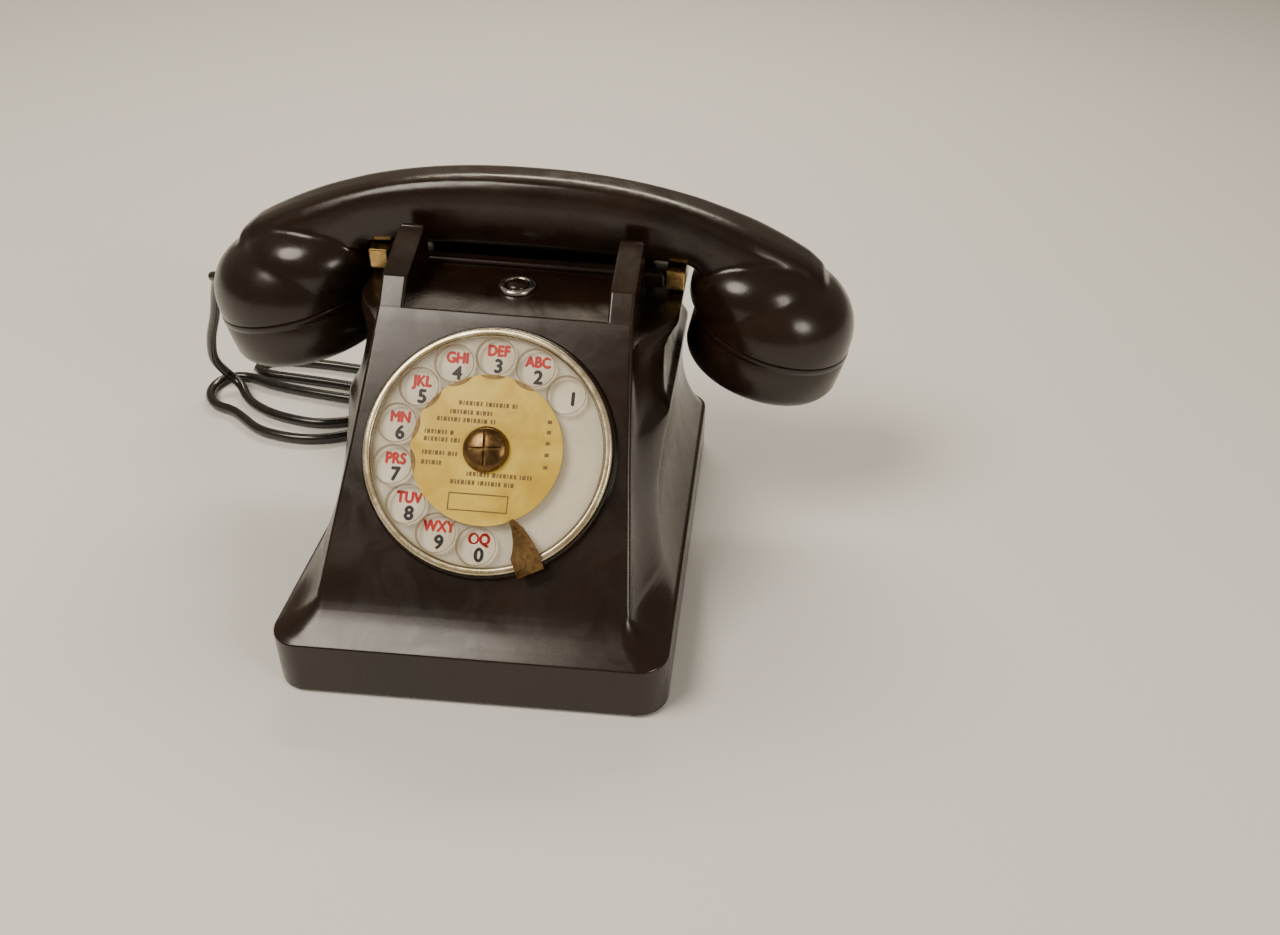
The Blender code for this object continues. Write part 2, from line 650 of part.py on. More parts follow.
def dial_rotor():
    """What a finger turns: the wheel, its card and hub, and the shaft with the main gear."""
    low = -1.3 * MM
    high = low + WHEEL_THICKNESS
    outlines = [circle(WHEEL_RADIUS, 48), circle(DIAL_SHAFT_RADIUS + GAP, 14)]
    outlines += [circle(FINGER_HOLE_RADIUS, 16, centre) for centre in finger_hole_places()]
    flat_plate("finger_wheel", CLEAR, outlines, low, high, DIAL_AXIS)
    card_low = high + GAP
    card_high = card_low + 0.5 * MM
    washer("number_card", PAPER, CARD_RADIUS, DIAL_SHAFT_RADIUS + GAP, card_low, card_high, parent=DIAL_AXIS)
    hub_low = card_high + GAP
    dome = [(0, hub_low + 3.6 * MM), (2.6 * MM, hub_low + 3.3 * MM), (4.9 * MM, hub_low + 2.5 * MM)]
    dome += [(6.6 * MM, hub_low + 1.3 * MM), (HUB_RADIUS, hub_low + 0.4 * MM), (HUB_RADIUS, hub_low), (0, hub_low)]
    turned("hub_screw", BRASS, dome, DIAL_AXIS, steps=24)
    start, end = (0, 0, BACK_PLATE[0] - 1 * MM), (0, 0, hub_low - GAP)
    rod("dial_shaft", STEEL, DIAL_SHAFT_RADIUS, start, end, DIAL_AXIS, 14)
    bore = circle(DIAL_SHAFT_RADIUS + GAP, 14)
    turn = -math.pi / 2
    flat_plate("main_gear", BRASS, [gear_outline(MAIN_TEETH, MAIN_MODULE, turn), bore], *MAIN_LEVEL, DIAL_AXIS)


def pulse_train():
    """The pulse shaft and the governor, geared to the dial."""
    half_pitch = math.pi / PULSE_TEETH
    bore = circle(PULSE_SHAFT_RADIUS + GAP, 12)
    outline = gear_outline(PULSE_TEETH, MAIN_MODULE, math.pi / 2 + half_pitch)
    flat_plate("pulse_pinion", BRASS, [outline, bore], *MAIN_LEVEL, DIAL_AXIS, PULSE_PLACE)
    outline = gear_outline(WHEEL_TEETH, FAST_MODULE)
    flat_plate("pulse_wheel", BRASS, [outline, bore], *FAST_LEVEL, DIAL_AXIS, PULSE_PLACE)
    start = (*PULSE_PLACE, FRONT_PLATE[0] - GAP)
    rod("pulse_shaft", STEEL, PULSE_SHAFT_RADIUS, start, (*PULSE_PLACE, BACK_PLATE[1] + GAP), DIAL_AXIS, 12)
    bore = circle(GOVERNOR_SHAFT_RADIUS + GAP, 10)
    outline = gear_outline(GOVERNOR_TEETH, FAST_MODULE, math.pi + math.pi / GOVERNOR_TEETH)
    flat_plate("governor_pinion", STEEL, [outline, bore], *FAST_LEVEL, DIAL_AXIS, GOVERNOR_PLACE)
    start = (*GOVERNOR_PLACE, FRONT_PLATE[0] - GAP)
    end = (*GOVERNOR_PLACE, BACK_PLATE[1] + GAP)
    rod("governor_shaft", STEEL, GOVERNOR_SHAFT_RADIUS, start, end, DIAL_AXIS, 12)
    weights = [(-5.2, -1.6), (-4.2, -3.0), (-1.6, -1.8), (1.6, -1.8), (4.2, -3.0), (5.2, -1.6)]
    weights += [(5.2, 1.6), (4.2, 3.0), (1.6, 1.8), (-1.6, 1.8), (-4.2, 3.0), (-5.2, 1.6)]
    outline = [(x * MM, y * MM) for x, y in weights]
    low, high = CUP_LEVEL[0] + 2.4 * MM, CUP_LEVEL[1] - 0.6 * MM
    flat_plate("governor_weights", BRASS, [outline, bore], low, high, DIAL_AXIS, GOVERNOR_PLACE)


def dial_frame():
    """The fixed plates that carry the dial's shafts, the governor's cup and the pulse contacts."""
    shafts = [((0, 0), DIAL_SHAFT_RADIUS)]
    holes = [circle(radius + GAP, 14, centre) for centre, radius in shafts]
    front = flat_plate("frame_front", None, [circle(MECHANISM_RADIUS, 40), *holes], *FRONT_PLATE, DIAL_AXIS)
    frame = mesh_from_curve("dial_frame", front, STEEL)
    outline = [(-24 * MM, 20 * MM), (-24 * MM, -30 * MM), (26 * MM, -30 * MM), (26 * MM, 20 * MM)]
    back = flat_plate("frame_back", None, [outline, *holes], *BACK_PLATE, DIAL_AXIS)
    join(frame, mesh_from_curve("frame_back_plate", back, STEEL))
    for i, (x, y) in enumerate(((-21, 17), (23, 17), (-21, -27), (23, -27))):
        start, end = (x * MM, y * MM, BACK_PLATE[0] + 0.4 * MM), (x * MM, y * MM, FRONT_PLATE[1] - 0.4 * MM)
        join(frame, rod(f"frame_post_{i}", None, 1.8 * MM, start, end, DIAL_AXIS, 12))
    cup_low, cup_high = CUP_LEVEL
    profile = [(7.2 * MM, cup_high), (8.2 * MM, cup_high), (8.2 * MM, cup_low), (1.6 * MM, cup_low)]
    profile += [(1.6 * MM, cup_low + 1 * MM), (7.2 * MM, cup_low + 1 * MM)]
    turned("governor_cup", BRASS, profile, DIAL_AXIS, (*GOVERNOR_PLACE, 0), steps=20, ring=True)
    low, high = (-22 * MM, -14 * MM, -27.6 * MM), (-12 * MM, -6 * MM, -20 * MM)
    contacts = block("pulse_contacts", CARD, low, high, DIAL_AXIS)
    for level in (-22, -24.5):
        start = (-15 * MM, -13 * MM, level * MM - 0.25 * MM)
        end = (-9 * MM, 8 * MM, level * MM + 0.25 * MM)
        join(contacts, block(f"pulse_blade_{level}", None, start, end, DIAL_AXIS))


# --- button, hook switch, bell and circuit ------------------------------------------------------------------


def push_button():
    ring_top = DECK_HEIGHT + 1.7 * MM
    inner = BUTTON_RADIUS + GAP
    sleeve = BUTTON_RADIUS + 0.9 * MM
    low = DECK_HEIGHT + GAP
    profile = [(inner, ring_top - 0.4 * MM), (inner + 0.5 * MM, ring_top), (BUTTON_RING_RADIUS - 0.8 * MM, ring_top)]
    profile += [(BUTTON_RING_RADIUS, ring_top - 0.9 * MM), (BUTTON_RING_RADIUS, low), (sleeve, low)]
    profile += [(sleeve, DECK_HEIGHT - 5 * MM), (inner, DECK_HEIGHT - 5 * MM)]
    where = (0, BUTTON_BACK, 0)
    turned("button_bezel", NICKEL, profile, location=where, steps=24, ring=True)
    top = DECK_HEIGHT + 2.6 * MM
    cap = [(0, top), (2.6 * MM, top - 0.2 * MM), (BUTTON_RADIUS - 0.3 * MM, top - 0.9 * MM)]
    cap += [(BUTTON_RADIUS, top - 1.6 * MM), (BUTTON_RADIUS, DECK_HEIGHT - 8 * MM), (0, DECK_HEIGHT - 8 * MM)]
    turned("push_button", BAKELITE, cap, location=where, steps=20)
    low = DECK_HEIGHT - 8 * MM - BUTTON_TRAVEL - 0.6 * MM
    base = block(
        "button_contacts", CARD, (-12 * MM, BUTTON_BACK - 4 * MM, low - 10 * MM), (-7 * MM, BUTTON_BACK + 4 * MM, low)
    )
    for i in (0, 1):
        level = low - (1 + 4 * i) * MM
        start, end = (-9 * MM, BUTTON_BACK - 2 * MM, level - 0.5 * MM), (5 * MM, BUTTON_BACK + 2 * MM, level)
        join(base, block(f"button_blade_{i}", None, start, end))


def hook_switch():
    """The cradle bars that the handset presses down, and the contacts that they work."""
    bar_top = HOOK_TOP - 1.4 * MM
    bar_low = bar_top - BAR_SIZE
    span = HOOK_END_INNER - GAP
    back = 2 * HANDSET_BACK - BAR_FRONT
    rows = (("front", BAR_FRONT, BAR_FRONT + BAR_SIZE), ("rear", back - BAR_SIZE, back))
    for word, near, far in rows:
        block(f"cradle_bar_{word}", BAKELITE, (-span, near, bar_low), (span, far, bar_top), edge=0.8 * MM)
    for side, word in ((-1, "left"), (1, "right")):
        low_x, high_x = sorted((side * HOOK_END_INNER, side * HOOK_END_OUTER))
        low = (low_x, BAR_FRONT, HOOK_TOP - HOOK_END_HEIGHT)
        block(f"cradle_end_{word}", BRASS, low, (high_x, back, HOOK_TOP), edge=0.5 * MM)
        x, y = side * PLUNGER_OFFSET, BAR_FRONT + BAR_SIZE / 2
        rod(f"hook_plunger_{word}", STEEL, PLUNGER_RADIUS, (x, y, 74 * MM), (x, y, bar_low - GAP), sides=16)
    level = 74 * MM
    low = (PLUNGER_OFFSET - 3 * MM, BAR_FRONT - 18 * MM, level - 13 * MM)
    stack = block("hook_contacts", CARD, low, (PLUNGER_OFFSET + 3 * MM, BAR_FRONT - 8 * MM, level - 2 * MM))
    for i in range(3):
        height = level - (3 + 3.5 * i) * MM
        start = (PLUNGER_OFFSET - 2 * MM, BAR_FRONT - 12 * MM, height - 0.5 * MM)
        end = (PLUNGER_OFFSET + 2 * MM, BAR_FRONT + 12 * MM, height)
        join(stack, block(f"hook_blade_{i}", None, start, end))


HAMMER_PIVOT = 62 * MM


def ringer():
    """Two gongs, their frame, the coils and the hammer."""
    plate_top = 9.6 * MM
    frame = block("ringer_frame", STEEL, (-40 * MM, HAMMER_PIVOT - 6 * MM, 8 * MM), (40 * MM, 132 * MM, plate_top))
    for side, word in ((-1, "left"), (1, "right")):
        x = side * GONG_OFFSET
        post = rod(f"gong_post_{word}", None, 2 * MM, (x, GONG_BACK, 9 * MM), (x, GONG_BACK, 45 * MM), sides=12)
        join(frame, post)
        rim, wall = 26 * MM, 1.4 * MM
        top = rim + 14 * MM
        bowl = [(2.4 * MM, top), (9 * MM, top - 0.4 * MM), (16 * MM, top - 3 * MM), (20 * MM, top - 7 * MM)]
        bowl += [(GONG_RADIUS, rim), (GONG_RADIUS - wall, rim), (20 * MM - wall, top - 7.6 * MM)]
        bowl += [(15.4 * MM, top - 4.2 * MM), (9 * MM, top - 0.4 * MM - wall), (2.4 * MM, top - wall)]
        turned(f"gong_{word}", BRASS, bowl, location=(x, GONG_BACK, 0), steps=24, ring=True)
        start, end = (side * 10.5 * MM, 68 * MM, 18.4 * MM), (side * 10.5 * MM, 92 * MM, 18.4 * MM)
        rod(f"ringer_coil_{word}", COPPER, 8 * MM, start, end, sides=20)
    ball = GONG_BACK
    hammer = block(
        "ringer_hammer", STEEL, (-14 * MM, HAMMER_PIVOT - 1.5 * MM, 14 * MM), (14 * MM, HAMMER_PIVOT + 1.5 * MM, 32 * MM)
    )
    join(hammer, rod("hammer_rod", None, 0.8 * MM, (0, HAMMER_PIVOT, 30 * MM), (0, ball, 30 * MM), sides=10))
    bm = bmesh.new()
    bmesh.ops.create_uvsphere(bm, u_segments=10, v_segments=6, radius=2.4 * MM)
    join(hammer, place(mesh_object("hammer_ball", bm), None, FRAME, (0, ball, 30 * MM)))


def circuit():
    """Capacitor, induction coil and terminals on the base plate."""
    low = PLATE_HIGH + GAP
    block("capacitor", STEEL, (-50 * MM, 24 * MM, low), (-22 * MM, 46 * MM, low + 14 * MM), edge=1 * MM)
    level = low + 8.2 * MM
    start, end = (8 * MM, 36 * MM, level), (46 * MM, 36 * MM, level)
    coil = rod("induction_coil", COPPER, 6.4 * MM, start, end, sides=24)
    for x in (8 * MM, 44 * MM):
        join(coil, block(f"coil_flange_{round(x / MM)}", None, (x, 28 * MM, low), (x + 2 * MM, 44 * MM, low + 16 * MM)))
    half, back = 26 * MM, 146 * MM
    terminals = block("terminal_block", CARD, (-half, back - 10 * MM, low), (half, back, low + 7 * MM))
    for i in range(6):
        x = (i - 2.5) * 8.4 * MM
        start, end = (x, back - 5 * MM, low + 6 * MM), (x, back - 5 * MM, low + 9 * MM)
        join(terminals, rod(f"terminal_{i}", None, 2.4 * MM, start, end, sides=10))


# --- handset ------------------------------------------------------------------------------------------------


def dome_profile():
    """From the top of the dome down to the seam with the cap: an ellipse with fuller corners."""
    steps, fullness = 8, 0.83
    dome = [(0, DOME_HEIGHT)]
    for i in range(1, steps - 1):
        t = math.pi / 2 * i / (steps - 1)
        dome.append((CUP_RADIUS * math.sin(t) ** fullness, DOME_HEIGHT * math.cos(t) ** fullness))
    return dome + [(CUP_RADIUS, 0), (0, 0)]


def shoulder_profile():
    """The rounded bulge that carries the handle's flat side into the dome."""
    steps, skirt, fullness = 8, 4 * MM, 0.8
    turns = [math.pi / 2 * i / (steps - 1) for i in range(1, steps - 1)]
    bulge = [(SHOULDER_RADIUS * math.sin(t) ** fullness, SHOULDER_HEIGHT * math.cos(t) ** fullness) for t in turns]
    edge = [(SHOULDER_RADIUS, 0), (SHOULDER_RADIUS - 1 * MM, -skirt), (0, -skirt)]
    return [(0, SHOULDER_HEIGHT), *bulge, *edge]


def handle_height(x):
    """Top of the handle's bow at a distance from its middle."""
    return HANDLE_TOP - HANDLE_DROP * (abs(x) / HANDLE_REACH) ** HANDLE_CURVE


def handle_section(x, low, high, width):
    """A rounded section of the handle: flat sides and a crowned top."""
    half = width / 2
    shape = [(-0.72, 0.0), (0.72, 0.0), (0.95, 0.1), (1.0, 0.3), (0.97, 0.62), (0.8, 0.87), (0.42, 0.985)]
    shape += [(-0.42, 0.985), (-0.8, 0.87), (-0.97, 0.62), (-1.0, 0.3), (-0.95, 0.1)]
    return [(x, half * a, low + (high - low) * b) for a, b in shape]


def handle():
    # Distance from the middle, underside, width, and how far the top drops below the bow.
    stations = [(x * MM, None, HANDLE_WIDTH, 0.0) for x in (0, 20, 40)]
    stations += [(HOOK_END_OUTER + GAP, None, HANDLE_WIDTH + 1 * MM, 0.0)]
    stations += [(60 * MM, 101.8 * MM, HANDLE_WIDTH + 1.5 * MM, 0.0), (64 * MM, 97.5 * MM, HANDLE_WIDTH + 2.5 * MM, 0.0)]
    stations += [(70 * MM, 92.5 * MM, HANDLE_WIDTH + 4 * MM, 0.0), (80 * MM, 88 * MM, HANDLE_WIDTH + 6 * MM, 0.0)]
    stations += [(92 * MM, 86 * MM, HANDLE_WIDTH + 4 * MM, 0.0), (101 * MM, 84 * MM, HANDLE_WIDTH + 1 * MM, 0.0)]
    stations += [(HANDLE_REACH, 82 * MM, HANDLE_WIDTH - 3 * MM, 1 * MM)]
    stations += [(HANDLE_REACH + 4 * MM, 81 * MM, HANDLE_WIDTH - 7 * MM, 7 * MM)]
    rings = []
    for side, row in ((-1, reversed(stations[1:])), (1, stations)):
        for x, low, width, drop in row:
            if low is None:
                low = GRIP_FLOOR - GRIP_FLOOR_DROP * (x / HOOK_END_OUTER) ** 2
            rings.append(handle_section(side * x, low, handle_height(x) - drop, width))
    grip = place(loft("handle", rings), BAKELITE, HANDSET_FRAME)
    for word, axis, side in (("mouth", MOUTH_AXIS, -1), ("ear", EAR_AXIS, 1)):
        place_shoulder = {"parent": HANDSET_FRAME, "location": (side * SHOULDER_OFFSET, 0, SHOULDER_LEVEL)}
        join(grip, turned(f"{word}_shoulder", None, shoulder_profile(), steps=24, **place_shoulder))
        join(grip, turned(f"{word}_dome", None, dome_profile(), axis, steps=28))
        recess = [(0, 7 * MM), (CAPSULE_RADIUS + 1.4 * MM, 7 * MM)]
        recess += [(CAPSULE_RADIUS + 1.4 * MM, -25 * MM), (0, -25 * MM)]
        cut(grip, turned(f"{word}_recess", None, recess, axis, steps=28))
    hole = rod("bush_hole", None, BUSH_RADIUS + GAP, *bush_ends(-1 * MM, 3 * MM), MOUTH_AXIS, 14)
    return cut(grip, hole)


BUSH_RADIUS = 3.6 * MM
BUSH_HEIGHT = 5 * MM
BUSH_TURN = math.radians(165)


def bush_ends(inside, outside):
    """Two points on the cord bush's line through the side of the mouthpiece dome."""
    out = Vector((math.cos(BUSH_TURN), math.sin(BUSH_TURN), 0))
    start = out * (CAPSULE_RADIUS + 1.4 * MM + inside)
    end = out * (CUP_RADIUS + 1 * MM + outside)
    level = Vector((0, 0, BUSH_HEIGHT))
    return start + level, end + level


def caps():
    lip = CUP_RADIUS + 0.3 * MM
    top, low = -GAP, -CAP_HEIGHT
    inner = CAPSULE_RADIUS + 1.4 * MM
    outside = [(lip - 0.4 * MM, top), (lip, top - 0.6 * MM), (lip - 0.2 * MM, low + 9 * MM)]
    for i in range(1, 4):
        t = math.pi / 2 * i / 3
        outside.append((lip - 7.2 * MM + 7 * MM * math.cos(t), low + 7 * MM - 7 * MM * math.sin(t)))
    for word, axis, pierced in (("mouth", MOUTH_AXIS, 6 * MM), ("ear", EAR_AXIS, 3.5 * MM)):
        dish = [(pierced + 8 * MM, low + 1.5 * MM), (pierced, low + 2 * MM), (pierced, low + 5 * MM)]
        inside = [(inner, low + 7 * MM), (inner, top)]
        profile = outside + dish + inside
        turned(f"{word}_cap", BAKELITE, [*profile[-1:], *profile[:-1]], axis, steps=28, ring=True)
        top_of_capsule = 6.4 * MM
        middle = low + 7.6 * MM
        capsule = [(0, top_of_capsule), (14 * MM, top_of_capsule), (CAPSULE_RADIUS, 1 * MM)]
        capsule += [(CAPSULE_RADIUS, middle), (0, middle)]
        turned("transmitter_capsule" if word == "mouth" else "receiver_capsule", NICKEL, capsule, axis, steps=24)


def cord_bush():
    start, end = bush_ends(0.4 * MM, 6 * MM)
    direction = (end - start).to_track_quat("Z", "Y").to_euler()
    length = (end - start).length
    profile = [(0, length), (CORD_RADIUS + 0.7 * MM, length), (BUSH_RADIUS - 0.2 * MM, 5 * MM), (BUSH_RADIUS, 0), (0, 0)]
    return turned("cord_bush", RUBBER, profile, MOUTH_AXIS, start, direction, steps=14)


# --- cord -----------------------------------------------------------------------------------------------------


# From the bush, round the table beside the casing in loose loops, to the gland at the back: (x, y, z) in mm.
CORD_ROUTE = [(-129.5, 142, 70.5), (-134, 147.5, 61), (-140, 154, 47), (-147, 160, 32), (-151, 165.5, 18)]
CORD_ROUTE += [(-149, 170, 8), (-143.5, 168.5, 3.4), (-138, 161.5, 2.2), (-131.7, 155.6, 2.2), (-120, 149.5, 2.2)]
CORD_ROUTE += [(-104, 146, 2.2), (-93, 147.5, 2.2), (-86, 151, 2.2), (-79.5, 156, 2.2), (-79, 160.5, 2.2)]
CORD_ROUTE += [(-86, 165, 2.2), (-98, 166.5, 2.2), (-115, 169, 2.2), (-131, 172.5, 2.2), (-143, 177, 2.2)]
CORD_ROUTE += [(-152, 175, 2.2), (-155, 168, 2.2), (-153.5, 160, 2.2), (-148, 153.5, 2.2), (-138.5, 149.5, 2.2)]
CORD_ROUTE += [(-125, 139, 2.2), (-115, 135.3, 2.2), (-104, 134, 2.2), (-94, 135.5, 2.2), (-84.6, 140, 2.2)]
CORD_ROUTE += [(-75.5, 147, 2.2), (-70, 156, 2.2), (-69.5, 164, 2.2), (-75, 170, 2.2), (-86, 174, 2.2)]
CORD_ROUTE += [(-104, 177, 2.2), (-122, 179, 2.2), (-135, 180.5, 2.2), (-142, 184, 2.2), (-140, 190, 2.2)]
CORD_ROUTE += [(-130, 192.5, 2.2), (-112, 192, 2.2), (-92, 190, 2.2), (-70, 190, 2.2), (-48, 193, 2.2)]
CORD_ROUTE += [(-26, 194, 2.2), (-8, 191, 2.2), (0, 184, 2.2), (-6, 177, 2.2), (-18, 175.5, 2.2), (-28, 176, 2.4)]
CORD_ROUTE += [(-34.5, 173, 4.5), (-36, 168.5, 9)]


def smooth_path(points, step):
    """Points at an even spacing on the smooth curve through the given ones."""
    fine = []
    ends = [points[0] * 2 - points[1], *points, points[-1] * 2 - points[-2]]
    for a, b, c, d in zip(ends, ends[1:], ends[2:], ends[3:]):
        for i in range(12):
            t = i / 12
            bend = (2 * a - 5 * b + 4 * c - d) * t**2 + (3 * b - 3 * c + d - a) * t**3
            fine.append((2 * b + (c - a) * t + bend) / 2)
    fine.append(points[-1])
    lengths = [0.0]
    for a, b in zip(fine, fine[1:]):
        lengths.append(lengths[-1] + (b - a).length)
    count = max(2, round(lengths[-1] / step))
    path, spot = [], 0
    for i in range(count + 1):
        wanted = lengths[-1] * i / count
        while spot < len(fine) - 2 and lengths[spot + 1] < wanted:
            spot += 1
        part = (wanted - lengths[spot]) / (lengths[spot + 1] - lengths[spot])
        path.append(fine[spot].lerp(fine[spot + 1], min(part, 1.0)))
    return path


def handset_cord():
    start, end = bush_ends(0, 6 * MM)
    bpy.context.view_layer.update()
    to_frame = FRAME.matrix_world.inverted() @ MOUTH_AXIS.matrix_world
    leave, tip = to_frame @ start, to_frame @ end
    out = (tip - leave).normalized()
    first = tip + out * GAP
    last = Vector((-GLAND_OFFSET, BASE_DEPTH + GAP - 0.2 * MM, GLAND_HEIGHT))
    # The cord leaves the bush and meets the gland square to them.
    lead = 3 * MM
    route = [first + out * lead, *(Vector(point) * MM for point in CORD_ROUTE), last + Vector((0, lead, 0))]
    path = [first, *smooth_path(route, CORD_STEP), last]
    curve = bpy.data.curves.new("handset_cord", "CURVE")
    curve.dimensions = "3D"
    curve.bevel_depth = CORD_RADIUS
    curve.bevel_resolution = 2
    curve.use_fill_caps = True
    spline = curve.splines.new("POLY")
    spline.points.add(len(path) - 1)
    for point, place_in_frame in zip(spline.points, path):
        point.co = (*place_in_frame, 1)
    return place(bpy.data.objects.new("handset_cord", curve), RUBBER)


def glands():
    for side, word in ((-1, "handset_cord_gland"), (1, "line_cord_inlet")):
        radius = GLAND_RADIUS - GAP
        start = BASE_DEPTH - 7 * MM
        end = BASE_DEPTH - 0.2 * MM
        where = (side * GLAND_OFFSET, start, GLAND_HEIGHT)
        length = end - start
        if side > 0:
            profile = [(1.6 * MM, length), (radius, length), (radius, 0), (1.6 * MM, 0)]
            turned(word, RUBBER, profile, location=where, rotation=(-math.pi / 2, 0, 0), steps=20, ring=True)
        else:
            profile = [(0, length), (radius, length), (radius, 0), (0, 0)]
            turned(word, RUBBER, profile, location=where, rotation=(-math.pi / 2, 0, 0), steps=20)


def build():
    casing()
    base()
    dial_face()
    dial_rotor()
    pulse_train()
    dial_frame()
    push_button()
    hook_switch()
    ringer()
    circuit()
    handle()
    caps()
    cord_bush()
    glands()
    handset_cord()


build()
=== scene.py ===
"""Looks of the rotary-dial desk telephone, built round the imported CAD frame.

Lengths are metres. MM turns millimetres into metres. The telephone's own coordinates start at the middle of
its front bottom edge, and FRONT moves them into the row frame. DIAL is the dial's frame, Z out of its face.
"""

import json
import math

import bmesh
import bpy
from mathutils import Matrix, Vector


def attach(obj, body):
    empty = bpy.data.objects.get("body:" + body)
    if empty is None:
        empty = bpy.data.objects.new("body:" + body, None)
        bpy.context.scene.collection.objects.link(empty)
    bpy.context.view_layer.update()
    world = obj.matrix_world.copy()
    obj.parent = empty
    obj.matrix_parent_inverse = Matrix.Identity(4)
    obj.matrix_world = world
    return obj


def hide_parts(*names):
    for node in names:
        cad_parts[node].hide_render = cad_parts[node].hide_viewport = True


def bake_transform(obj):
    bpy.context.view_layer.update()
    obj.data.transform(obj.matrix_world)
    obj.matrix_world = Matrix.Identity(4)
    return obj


MM = 0.001
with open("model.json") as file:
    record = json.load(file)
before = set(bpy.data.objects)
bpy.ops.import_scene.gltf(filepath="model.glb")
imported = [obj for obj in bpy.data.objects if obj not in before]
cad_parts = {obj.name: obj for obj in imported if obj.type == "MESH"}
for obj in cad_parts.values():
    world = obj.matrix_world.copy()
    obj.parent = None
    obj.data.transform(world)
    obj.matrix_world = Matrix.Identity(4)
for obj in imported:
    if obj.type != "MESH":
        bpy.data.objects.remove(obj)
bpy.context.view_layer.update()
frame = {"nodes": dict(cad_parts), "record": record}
NODES = frame["nodes"]
HOUSING = "housing"

BASE_DEPTH = 164
FACE_ANGLE = math.radians(47)
DIAL_FORWARD, DIAL_UP = 45.1, 69.8
HANDSET_BACK = 128
CUP_OFFSET, CUP_HEIGHT = 89.5, 78
CUP_TILT = math.radians(13.5)
FRONT = Matrix.Translation((0, -BASE_DEPTH / 2 * MM, 0))
DIAL = FRONT @ Matrix.Translation((0, DIAL_FORWARD * MM, DIAL_UP * MM)) @ Matrix.Rotation(FACE_ANGLE, 4, "X")
HANDSET = FRONT @ Matrix.Translation((0, HANDSET_BACK * MM, 0))
MOUTH_CENTRE = Matrix.Translation((-CUP_OFFSET * MM, 0, CUP_HEIGHT * MM))
EAR_CENTRE = Matrix.Translation((CUP_OFFSET * MM, 0, CUP_HEIGHT * MM))
MOUTH = HANDSET @ MOUTH_CENTRE @ Matrix.Rotation(-CUP_TILT, 4, "Y")
EAR = HANDSET @ EAR_CENTRE @ Matrix.Rotation(CUP_TILT, 4, "Y")


# --- camera, light and floor ------------------------------------------------------------------------------


def make_camera():
    data = bpy.data.cameras.new("camera")
    data.sensor_width = 36
    data.lens = 32.77
    data.shift_x = -0.078
    data.shift_y = -0.032
    data.clip_start = 0.01
    camera = bpy.data.objects.new("camera", data)
    bpy.context.scene.collection.objects.link(camera)
    yaw, pitch, roll = math.radians(0.9), math.radians(34.6), math.radians(-3.9)
    ahead = Vector((-math.sin(yaw) * math.cos(pitch), math.cos(yaw) * math.cos(pitch), -math.sin(pitch)))
    level = Vector((math.cos(yaw), math.sin(yaw), 0))
    down = ahead.cross(level)
    right = level * math.cos(roll) + down * math.sin(roll)
    down = down * math.cos(roll) - level * math.sin(roll)
    turn = Matrix((right, -down, -ahead)).transposed().to_4x4()
    camera.matrix_world = Matrix.Translation((85.5 * MM, -337.6 * MM, 294.1 * MM)) @ turn
    bpy.context.scene.camera = camera


def area_light(name, place, aim, size, power, colour, depth=None):
    data = bpy.data.lights.new(name, "AREA")
    data.shape = "ELLIPSE"
    data.size = size
    data.size_y = depth or size
    data.energy = power
    data.color = colour
    light = bpy.data.objects.new(name, data)
    bpy.context.scene.collection.objects.link(light)
    light.location = place
    light.rotation_euler = (Vector(aim) - Vector(place)).to_track_quat("-Z", "Y").to_euler()


def make_stage():
    world = bpy.data.worlds.new("studio")
    bpy.context.scene.world = world
    world.use_nodes = True
    background = world.node_tree.nodes["Background"]
    background.inputs["Color"].default_value = (1.0, 0.85, 0.66, 1)
    background.inputs["Strength"].default_value = 0.25
    area_light("key", (-0.45, -0.35, 0.95), (0, 0, 0.05), 0.55, 9.0, (1.0, 0.90, 0.76))
    area_light("ridge", (-0.05, 0.75, 0.75), (0, 0, 0.08), 0.9, 5.0, (1.0, 0.88, 0.70), 0.12)
    area_light("fill", (0.75, -0.55, 0.55), (0, 0, 0.05), 0.35, 3.0, (1.0, 0.92, 0.80))
    bm = bmesh.new()
    bmesh.ops.create_grid(bm, x_segments=1, y_segments=1, size=3.0)
    mesh = bpy.data.meshes.new("floor")
    bm.to_mesh(mesh)
    bm.free()
    floor = bpy.data.objects.new("floor", mesh)
    bpy.context.scene.collection.objects.link(floor)
    floor.location.z = -0.0002
    material = new_material("floor_paint", (0.86, 0.85, 0.83), 0.7)[0]
    mesh.materials.append(material)


# --- materials --------------------------------------------------------------------------------------------


def new_material(name, colour, roughness, metallic=0.0):
    material = bpy.data.materials.new(name)
    material.use_nodes = True
    tree = material.node_tree
    shader = tree.nodes["Principled BSDF"]
    shader.inputs["Base Color"].default_value = (*colour, 1)
    shader.inputs["Roughness"].default_value = roughness
    shader.inputs["Metallic"].default_value = metallic
    return material, shader, tree


def coordinates(tree, scale=(1, 1, 1)):
    source = tree.nodes.new("ShaderNodeTexCoord")
    mapping = tree.nodes.new("ShaderNodeMapping")
    mapping.inputs["Scale"].default_value = scale
    tree.links.new(source.outputs["Object"], mapping.inputs["Vector"])
    return mapping.outputs["Vector"]


def noise_value(tree, vector, scale, detail=4.0, rough=0.55, distortion=0.0):
    node = tree.nodes.new("ShaderNodeTexNoise")
    node.inputs["Scale"].default_value = scale
    node.inputs["Detail"].default_value = detail
    node.inputs["Roughness"].default_value = rough
    node.inputs["Distortion"].default_value = distortion
    tree.links.new(vector, node.inputs["Vector"])
    return node.outputs["Fac"]


